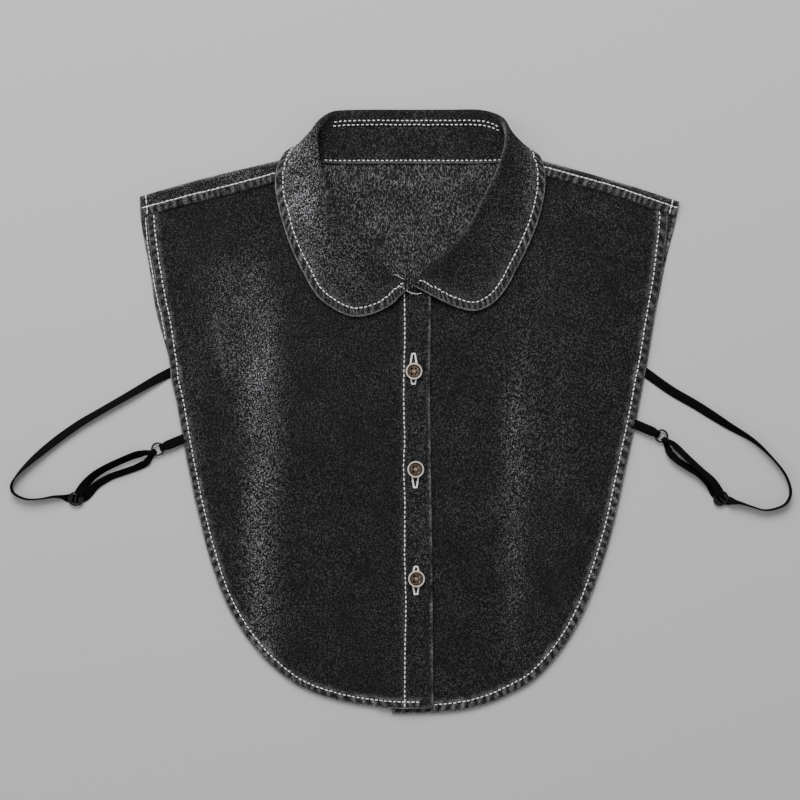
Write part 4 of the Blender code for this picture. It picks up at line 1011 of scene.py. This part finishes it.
# Placket facing
# The strip of denim folded behind the left front's edge, between it and the button stand.
def dress_facing():
    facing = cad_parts["placket"]
    facing.data.materials.clear()
    facing.data.materials.append(denim_inside)


dress_facing()


# Buttons and buttonholes
# Four-hole shirt buttons with a pale raised rim round a brown horn middle, sewn with a cross of
# thread, each through a bar-stitched white buttonhole that runs down the placket.
# The groove inside each rim and the walls of the holes are painted shade in near black.
BUTTON_COLUMNS = ("name", "across", "along", "tilt", "hole top", "hole bottom")
BUTTON_ROWS = (
    ("top", 3.4, 25.8, 0.10, 37.2, 17.6),
    ("middle", 4.5, -37.1, 0.02, -32.4, -48.9),
    ("bottom", 5.0, -107.4, 0.04, -99.5, -117.5),
)
BUTTON_RADIUS = 5.35 * MM
BUTTON_THICK = 2.4 * MM
RIM_WIDTH = 1.05 * MM
BUTTON_STEPS = ((0.4 * MM, 0.0), (RIM_WIDTH - 0.4 * MM, -0.05 * MM), (0.2 * MM, -0.5 * MM), (0.45 * MM, -0.15 * MM))
HOLE_RADIUS = 0.92 * MM
HOLE_OFFSET = 1.55 * MM
BUTTON_BASE = 5.0 * MM


def polished_button(name, colour, mottle, size):
    """Pressed horn and resin: a mottled colour under a smooth polish."""
    made, tree, shader = new_surface(name)
    coords = node(tree, "ShaderNodeTexCoord")
    clouds = node(tree, "ShaderNodeTexNoise", {"Scale": 1 / size, "Detail": 4.0}, {"Vector": coords.outputs["Object"]})
    tint = node(
        tree, "ShaderNodeMix", {"data_type": "RGBA", 6: linear(colour), 7: linear(mottle)}, {0: clouds.outputs["Fac"]}
    )
    tree.links.new(tint.outputs[2], shader.inputs["Base Color"])
    shader.inputs["Roughness"].default_value = 0.42
    shader.inputs["Specular IOR Level"].default_value = 0.3
    return made


horn_rim = polished_button("button_rim_pale", "#ddd0c6", "#a3958a", 3 * MM)
horn_middle = polished_button("button_middle_horn", "#67513f", "#2a2019", 1.4 * MM)
# Near-black painted shade for the groove inside the rim and the hole walls, with its polish taken off.
groove_and_hole_shade = polished_button("button_groove_and_hole_painted_shade", "#1d1613", "#100c0a", 2 * MM)
for groove_node in groove_and_hole_shade.node_tree.nodes:
    if groove_node.type == "BSDF_PRINCIPLED":
        groove_node.inputs["Coat Weight"].default_value = 0.0
        groove_node.inputs["Roughness"].default_value = 0.8


def in_edit(made):
    """Opens one object for editing, with every other one deselected."""
    bpy.ops.object.select_all(action="DESELECT")
    made.select_set(True)
    bpy.context.view_layer.objects.active = made
    bpy.ops.object.mode_set(mode="EDIT")
    bpy.ops.mesh.select_all(action="SELECT")


def build_button(name, x, y, tilt):
    centre = (x * MM, y * MM, BUTTON_BASE + BUTTON_THICK / 2)
    bpy.ops.object.select_all(action="DESELECT")
    bpy.ops.mesh.primitive_cylinder_add(vertices=64, radius=BUTTON_RADIUS, depth=BUTTON_THICK)
    button = bpy.context.object
    button.name = f"button_{name}_shell"
    mesh = button.data
    mesh.materials.append(horn_rim)
    mesh.materials.append(horn_middle)
    mesh.materials.append(groove_and_hole_shade)
    bm = bmesh.new()
    bm.from_mesh(mesh)
    face = max(bm.faces, key=lambda item: item.calc_center_median().z)
    for width, drop in BUTTON_STEPS:
        bmesh.ops.inset_region(bm, faces=[face], thickness=width, depth=drop)
    # The groove's faces take the painted shade material, and the sunk middle takes the brown horn.
    for item in bm.faces:
        reach = max(vert.co.to_2d().length for vert in item.verts)
        if item.normal.z > 0.1 and reach < BUTTON_RADIUS - RIM_WIDTH + 0.01 * MM:
            item.material_index = 2 if item is not face else 1
    low = min(bm.faces, key=lambda item: item.calc_center_median().z)
    bmesh.ops.scale(bm, verts=list(low.verts), vec=(0.84, 0.84, 1))
    bm.to_mesh(mesh)
    bm.free()
    for k in range(4):
        angle = math.pi * (k / 2 + 0.25)
        bpy.ops.object.select_all(action="DESELECT")
        bpy.ops.mesh.primitive_cylinder_add(
            vertices=24,
            radius=HOLE_RADIUS,
            depth=4 * BUTTON_THICK,
            location=(HOLE_OFFSET * math.sqrt(2) * math.cos(angle), HOLE_OFFSET * math.sqrt(2) * math.sin(angle), 0),
        )
        drill = bpy.context.object
        # The hole walls take the painted shade material.
        drill.data.materials.append(groove_and_hole_shade)
        cut = button.modifiers.new("hole", "BOOLEAN")
        cut.object = drill
        bpy.context.view_layer.objects.active = button
        bpy.ops.object.modifier_apply(modifier="hole")
        bpy.data.objects.remove(drill, do_unlink=True)
    soften = button.modifiers.new("soft_edges", "BEVEL")
    soften.width = 0.14 * MM
    soften.segments = 3
    soften.limit_method = "ANGLE"
    soften.angle_limit = math.radians(28)
    bpy.ops.object.modifier_apply(modifier="soft_edges")
    in_edit(button)
    bpy.ops.transform.rotate(value=tilt, orient_axis="X", center_override=(0, 0, 0))
    bpy.ops.transform.translate(value=centre)
    bpy.ops.object.mode_set(mode="OBJECT")
    button.data.polygons.foreach_set("use_smooth", [True] * len(button.data.polygons))
    weighted = button.modifiers.new("even_shading", "WEIGHTED_NORMAL")
    weighted.keep_sharp = True
    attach(button, "root")
    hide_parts(f"button_{name}")
    height = BUTTON_BASE + BUTTON_THICK - 0.62 * MM
    reach = 0.7 * HOLE_OFFSET
    rows = []
    for seed, (dx, dy) in enumerate(((1, 1), (1, -1))):
        ends = ((x - dx * reach / MM, y - dy * reach / MM, height / MM), (x + dx * reach / MM, y + dy * reach / MM, height / MM + 0.12))
        line = smooth_line(ends, 0.3 * MM)
        settings = {"pitch": 1.0, "length": travelled(line)[-1], "width": 0.6 * MM, "wander": 0.0}
        rows.append((line, upward(line), 90 + seed, settings))
    cross = add_stitches(f"button_{name}_thread", rows)
    cross.data.materials[0] = button_thread
    # A near-black disc of thread under the button, standing for its shank: painted shade seen through the holes.
    bpy.ops.object.select_all(action="DESELECT")
    bpy.ops.mesh.primitive_cylinder_add(vertices=24, radius=HOLE_OFFSET + 1.3 * MM, depth=0.25 * MM)
    hole_shade_disc = bpy.context.object
    hole_shade_disc.name = f"button_{name}_shank"
    in_edit(hole_shade_disc)
    bpy.ops.transform.translate(value=(centre[0], centre[1], BUTTON_BASE - 0.15 * MM))
    bpy.ops.object.mode_set(mode="OBJECT")
    hole_shade_disc.data.materials.append(hole_shade_thread)
    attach(hole_shade_disc, "root")


button_thread = thread_surface("thread_button_brown", "#b39a80", 0.1)
# Near black as painted shade in the button's holes, not the pale brown of the thread the button is sewn with.
hole_shade_thread = thread_surface("thread_painted_hole_shade", "#0a0908", 0.0)


def build_buttonhole(name, x, y, high, low):
    """Bars of thread along both lips of the slit, spread by the button, and across its ends."""
    rng = np.random.default_rng(len(name))
    rows = []

    def bar(start, end, width):
        line = np.array([start, end]) * MM
        line = np.column_stack([line, left_front_top(line) + 0.3 * MM])
        settings = {"pitch": 1.0, "length": travelled(line)[-1], "width": width, "wander": 0.0}
        rows.append((line, upward(line), int(rng.integers(1000000)), settings))

    for level in np.arange(low, high, 0.4):
        end = high if level > y else low
        spread = 0.35 + 1.75 * abs(level - end) / max(abs(end - y), 4)
        for side in (-1, 1):
            inner = x + side * spread
            slip = rng.uniform(-0.1, 0.1, 2)
            bar((inner, level + slip[0]), (inner + side * (1.15 + slip[1]), level + slip[1]), 0.5 * MM)
    for level in (low - 0.1, low + 0.35, high - 0.35, high + 0.1):
        bar((x - 1.35, level), (x + 1.35, level), 0.6 * MM)
    add_stitches(f"buttonhole_{name}_stitches", rows)


for button_name, button_x, button_y, button_tilt, hole_high, hole_low in BUTTON_ROWS:
    build_button(button_name, button_x, button_y, button_tilt)
    build_buttonhole(button_name, button_x - 0.3, button_y, hole_high, hole_low)


# Straps
# Flat black elastic, woven with fine cross ribs. Each runs from the side hem out and back to its
# slider, on to the ring and back over itself, lying flat or turned on edge as it was put down.
STRAP_WIDTH = 6.0 * MM
STRAP_THICK = 1.0 * MM
RIB_PITCH = 1.3 * MM
RING_RADIUS = 3.85 * MM
RING_WIRE = 1.3 * MM
PIN_RADIUS = 1.75 * MM
PIN_WIDTH = 0.56
TAB_PIN_WIDTH = 0.78
RING_HEIGHT = 2.25 * MM
STRAP_ROUTES = {
    "left": {
        "out": (
            (-148.5, 27.8, 1.15, 0), (-156.0, 24.0, 0.8, 0), (-164.3, 19.7, 1.4, 20), (-182.3, 9.4, 2.2, 40),
            (-200.4, -1.0, 2.3, 42), (-212.7, -8.4, 2.1, 34), (-227.5, -19.0, 2.1, 30), (-241.0, -30.0, 2.7, 48),
            (-251.6, -40.3, 3.1, 76), (-255.6, -47.4, 3.2, 90), (-253.8, -52.9, 3.2, 90), (-246.0, -56.4, 3.2, 90),
            (-236.5, -56.1, 3.2, 88), (-228.5, -54.8, 3.1, 80), (-222.5, -55.1, 2.8, 60), (-218.8, -55.8, 1.2, 16),
            (-214.4, -56.3, 0.5, 0), (-209.6, -55.4, 0.6, 0), (-206.6, -53.0, 1.1, 12), (-201.0, -47.4, 2.2, 38),
            (-192.3, -42.2, 2.4, 44), (-184.0, -39.2, 2.4, 46), (-176.0, -36.4, 2.5, 46), (-169.2, -33.2, 2.2, 34),
        ),
        "back": (
            (-170.0, -26.6, 3.9, 26), (-178.0, -28.8, 3.6, 44), (-192.6, -35.2, 3.4, 46), (-202.3, -41.0, 3.4, 40),
            (-208.6, -47.4, 3.6, 24), (-212.8, -53.8, 3.3, 0),
        ),
        "ring": (-161.5, -24.2),
        "pull": (0.79, 0.61),
        "slider": (-214.4, -56.3),
        "slider_heading": 12.0,
        "tab": ((-141.5, -16.0), (-146.3, -18.0), (-154.0, -21.2)),
    },
    "right": {
        "out": (
            (146.5, 30.0, 1.15, 0), (153.5, 24.6, 0.8, 0), (168.8, 13.6, 1.0, 6), (184.6, 4.4, 1.2, 12),
            (196.0, -2.8, 1.8, 24), (206.6, -9.6, 2.6, 45), (222.1, -19.0, 3.1, 72), (234.0, -30.0, 3.2, 90),
            (242.1, -40.3, 3.2, 90), (245.6, -50.0, 3.2, 90), (244.6, -56.4, 3.2, 90), (240.1, -61.0, 3.2, 90),
            (230.1, -63.5, 3.2, 90), (222.1, -61.6, 3.2, 88), (214.3, -59.0, 3.1, 80), (209.6, -58.1, 2.8, 60),
            (205.8, -57.4, 1.2, 16), (201.0, -56.0, 0.5, 0), (197.4, -52.6, 0.6, 0), (195.6, -49.6, 1.1, 12),
            (192.2, -45.4, 2.2, 38), (186.2, -39.9, 2.4, 46), (180.1, -36.2, 2.4, 46), (173.0, -31.6, 2.5, 46),
            (168.0, -26.6, 2.2, 34),
        ),
        "back": (
            (169.8, -20.6, 3.9, 26), (174.8, -25.4, 3.6, 44), (181.6, -32.0, 3.4, 44), (189.0, -38.8, 3.4, 44),
            (195.8, -45.4, 3.6, 28), (201.0, -54.2, 3.3, 0),
        ),
        "ring": (162.7, -15.8),
        "pull": (-0.62, 0.78),
        "slider": (201.0, -56.0),
        "slider_heading": 135.0,
        "tab": ((142.0, -7.0), (147.0, -8.7), (155.5, -12.3)),
    },
}


def elastic_surface():
    """Woven elastic: dull black with fine ribs across the band, from the band's own UV."""
    made, tree, shader = new_surface("elastic_black_ribbed")
    coords = node(tree, "ShaderNodeTexCoord")
    ribs = node(
        tree,
        "ShaderNodeTexWave",
        {"wave_type": "BANDS", "bands_direction": "X", "Scale": 1 / RIB_PITCH / 3.2, "Distortion": 0.6, "Detail": 2.0},
        {"Vector": coords.outputs["UV"]},
    )
    bump = node(tree, "ShaderNodeBump", {"Strength": 0.5, "Distance": 0.18 * MM}, {"Height": ribs.outputs["Fac"]})
    tint = node(
        tree, "ShaderNodeMix", {"data_type": "RGBA", 6: linear("#030304"), 7: linear("#0a0a0b")}, {0: ribs.outputs["Fac"]}
    )
    tree.links.new(tint.outputs[2], shader.inputs["Base Color"])
    tree.links.new(bump.outputs[0], shader.inputs["Normal"])
    shader.inputs["Roughness"].default_value = 0.85
    shader.inputs["Specular IOR Level"].default_value = 0.1
    return made


elastic = elastic_surface()


def hairpin(ring, pull):
    """The band's turn round a ring's wire, from under it to over it."""
    toward = unit(np.array([*pull, 0.0]))
    centre = np.array([ring[0] * MM, ring[1] * MM, 0.0]) - toward * (RING_RADIUS - 0.3 * MM)
    centre[2] = RING_HEIGHT
    angles = np.linspace(0, math.pi, 13)
    return np.array([centre + PIN_RADIUS * (toward * math.sin(a) - np.array([0, 0, math.cos(a)])) for a in angles])


def band(name, points, turns, widths):
    """A flat band with rounded edges along a line of points, turned about its length."""
    side = None
    rows = []
    for k in range(len(points)):
        heading = unit(points[min(k + 1, len(points) - 1)] - points[max(k - 1, 0)])
        if np.linalg.norm(heading[:2]) > 0.35:
            fresh = unit(np.array([-heading[1], heading[0], 0.0]))
            side = -fresh if side is not None and side @ fresh < 0 else fresh
        over = unit(np.cross(heading, side))
        over = -over if over[2] < 0 else over
        angle = math.radians(turns[k])
        across = side * math.cos(angle) + over * math.sin(angle)
        thick = unit(np.cross(heading, across))
        half, deep = STRAP_WIDTH * widths[k] / 2, STRAP_THICK / 2
        face = ((-1, 0.0), (-0.93, 0.7), (-0.8, 1.0), (0, 1.0), (0.8, 1.0), (0.93, 0.7))
        section = [across * half * a + thick * deep * b for a, b in face]
        section += [-offset for offset in section]
        ring = np.array([points[k] + offset for offset in section])
        ring[:, 2] += max(0.0, -ring[:, 2].min())
        rows.append(ring)
    rows = np.array(rows)
    made = loft(name, rows, elastic)
    tidy_normals(made)
    run = travelled(points)
    uv = made.data.uv_layers.new(name="UVMap")
    around = rows.shape[1]
    for loop in made.data.loops:
        station, place = divmod(loop.vertex_index, around)
        uv.data[loop.index].uv = (run[station], place * 0.001)
    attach(made, "root")
    return made


def route(rows):
    line = smooth_line([(x, y, height, turn * 0.1) for x, y, height, turn in rows], 1.5 * MM)
    return line[:, :3], line[:, 3] / MM / 0.1


def build_strap(side):
    data = STRAP_ROUTES[side]
    out_points, out_turns = route(data["out"])
    back_points, back_turns = route(data["back"])
    pin = hairpin(data["ring"], data["pull"])
    lead_in = smooth_line(np.vstack([out_points[-1:], pin[:1]]) / MM, 1.5 * MM)[1:-1]
    lead_out = smooth_line(np.vstack([pin[-1:], back_points[:1]]) / MM, 1.5 * MM)[1:-1]
    points = np.vstack([out_points, lead_in, pin, lead_out, back_points])
    level = [0.0] * (len(lead_in) + len(pin) + len(lead_out))
    turns = np.concatenate([out_turns, level, back_turns])
    run = travelled(points)
    middle = run[len(out_points) + len(lead_in) + len(pin) // 2]
    widths = PIN_WIDTH + (1 - PIN_WIDTH) * ease(np.abs(run - middle), 5 * MM, 15 * MM)
    strap = band(f"strap_{side}_elastic", points, turns, widths)
    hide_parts(f"strap_{side}")
    tab = np.array([(*point, 0.5) for point in data["tab"]]) * MM
    tab[0, 2] = 1.1 * MM
    toward = np.array(data["ring"]) - np.array(data["tab"][2])
    pin = hairpin(data["ring"], toward)
    high = tab[::-1] + np.array([0, 0, 2 * PIN_RADIUS])
    high[-1, 2] = 2.0 * MM
    high[-2, 2] = 3.1 * MM
    points = smooth_line(np.vstack([tab, pin[::3], high]) / MM, 0.8 * MM)
    run = travelled(points)
    widths = TAB_PIN_WIDTH + (1 - TAB_PIN_WIDTH) * ease(np.abs(run - run[-1] / 2), 3 * MM, 6 * MM)
    piece = band(f"tab_{side}_elastic", points, np.zeros(len(points)), widths)
    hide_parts(f"tab_{side}")


for strap_side in STRAP_ROUTES:
    build_strap(strap_side)


# Rings and sliders
# Small rings and oval two-slot sliders of black lacquered wire and plate.
def lacquer_surface():
    made, _, shader = new_surface("metal_black_lacquer")
    shader.inputs["Base Color"].default_value = linear("#0c0c0d")
    shader.inputs["Metallic"].default_value = 0.4
    shader.inputs["Roughness"].default_value = 0.22
    shader.inputs["Coat Weight"].default_value = 0.5
    return made


lacquer = lacquer_surface()
SLIDER_ACROSS = 9.2 * MM
SLIDER_ALONG = 10.4 * MM
SLIDER_THICK = 1.2 * MM
SLIDER_HEIGHT = 1.9 * MM
SLOT_OFFSET = 1.35 * MM


def build_ring(side):
    x, y = STRAP_ROUTES[side]["ring"]
    bpy.ops.object.select_all(action="DESELECT")
    bpy.ops.mesh.primitive_torus_add(major_segments=64, minor_segments=20, major_radius=RING_RADIUS, minor_radius=RING_WIRE / 2)
    ring = bpy.context.object
    ring.name = f"ring_{side}_wire"
    in_edit(ring)
    bpy.ops.transform.translate(value=(x * MM, y * MM, RING_HEIGHT))
    bpy.ops.object.mode_set(mode="OBJECT")
    ring.data.polygons.foreach_set("use_smooth", [True] * len(ring.data.polygons))
    ring.data.materials.append(lacquer)
    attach(ring, "root")
    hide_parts(f"ring_{side}")


def build_slider(side):
    data = STRAP_ROUTES[side]
    x, y = data["slider"]
    bpy.ops.object.select_all(action="DESELECT")
    bpy.ops.mesh.primitive_cylinder_add(vertices=64, radius=0.5, depth=SLIDER_THICK)
    slider = bpy.context.object
    slider.name = f"slider_{side}_plate"
    in_edit(slider)
    bpy.ops.transform.resize(value=(SLIDER_ALONG, SLIDER_ACROSS, 1))
    bpy.ops.object.mode_set(mode="OBJECT")
    for sign in (-1, 1):
        bpy.ops.object.select_all(action="DESELECT")
        bpy.ops.mesh.primitive_cube_add(size=1, location=(sign * SLOT_OFFSET, 0, 0), scale=(1.5 * MM, 6.6 * MM, 5 * MM))
        slot_tool = bpy.context.object
        cut = slider.modifiers.new("slot", "BOOLEAN")
        cut.object = slot_tool
        bpy.context.view_layer.objects.active = slider
        bpy.ops.object.modifier_apply(modifier="slot")
        bpy.data.objects.remove(slot_tool, do_unlink=True)
    round_off = slider.modifiers.new("rounded", "BEVEL")
    round_off.width = 0.35 * MM
    round_off.segments = 4
    round_off.limit_method = "ANGLE"
    bpy.ops.object.modifier_apply(modifier="rounded")
    in_edit(slider)
    bpy.ops.transform.rotate(value=math.radians(data["slider_heading"]), orient_axis="Z", center_override=(0, 0, 0))
    bpy.ops.transform.translate(value=(x * MM, y * MM, SLIDER_HEIGHT))
    bpy.ops.object.mode_set(mode="OBJECT")
    slider.data.polygons.foreach_set("use_smooth", [True] * len(slider.data.polygons))
    slider.data.materials.append(lacquer)
    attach(slider, "root")
    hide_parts(f"slider_{side}")


for strap_side in STRAP_ROUTES:
    build_ring(strap_side)
    build_slider(strap_side)


# Stage
# A pale matt table top, a broad soft light from above and a camera straight over the collar.
VIEW_WIDTH = 516.0 * MM
VIEW_CENTRE = (-5.6 * MM, 7.4 * MM)
CAMERA_LENS = 85.0
SENSOR = 36.0


def add_light(name, place, aim, size, power):
    data = bpy.data.lights.new(name, "AREA")
    data.size = size
    data.energy = power
    light = bpy.data.objects.new(name, data)
    light.location = place
    light.rotation_euler = (Vector(aim) - Vector(place)).to_track_quat("-Z", "Y").to_euler()
    bpy.context.scene.collection.objects.link(light)


def build_stage():
    made, tree, shader = new_surface("table_pale_matt")
    shader.inputs["Base Color"].default_value = linear("#c8c8c8")
    shader.inputs["Roughness"].default_value = 0.95
    bpy.ops.object.select_all(action="DESELECT")
    bpy.ops.mesh.primitive_plane_add(size=6.0, location=(0, 0, -0.05 * MM))
    table = bpy.context.object
    table.name = "table_top"
    table.data.materials.append(made)
    add_light("light_overhead", (-0.2, 1.35, 1.4), (0, 0.1, 0), 1.1, 39)
    add_light("light_left", (-1.4, 0.3, 1.0), (0, 0, 0), 0.8, 5)
    world = bpy.data.worlds.new("soft_room")
    world.use_nodes = True
    world.node_tree.nodes["Background"].inputs["Color"].default_value = (1, 1, 1, 1)
    world.node_tree.nodes["Background"].inputs["Strength"].default_value = 0.4
    bpy.context.scene.world = world
    lens = bpy.data.cameras.new("view_from_above")
    lens.lens = CAMERA_LENS
    lens.sensor_width = SENSOR
    camera = bpy.data.objects.new("view_from_above", lens)
    camera.location = (*VIEW_CENTRE, VIEW_WIDTH / SENSOR * CAMERA_LENS)
    bpy.context.scene.collection.objects.link(camera)
    bpy.context.scene.camera = camera


build_stage()
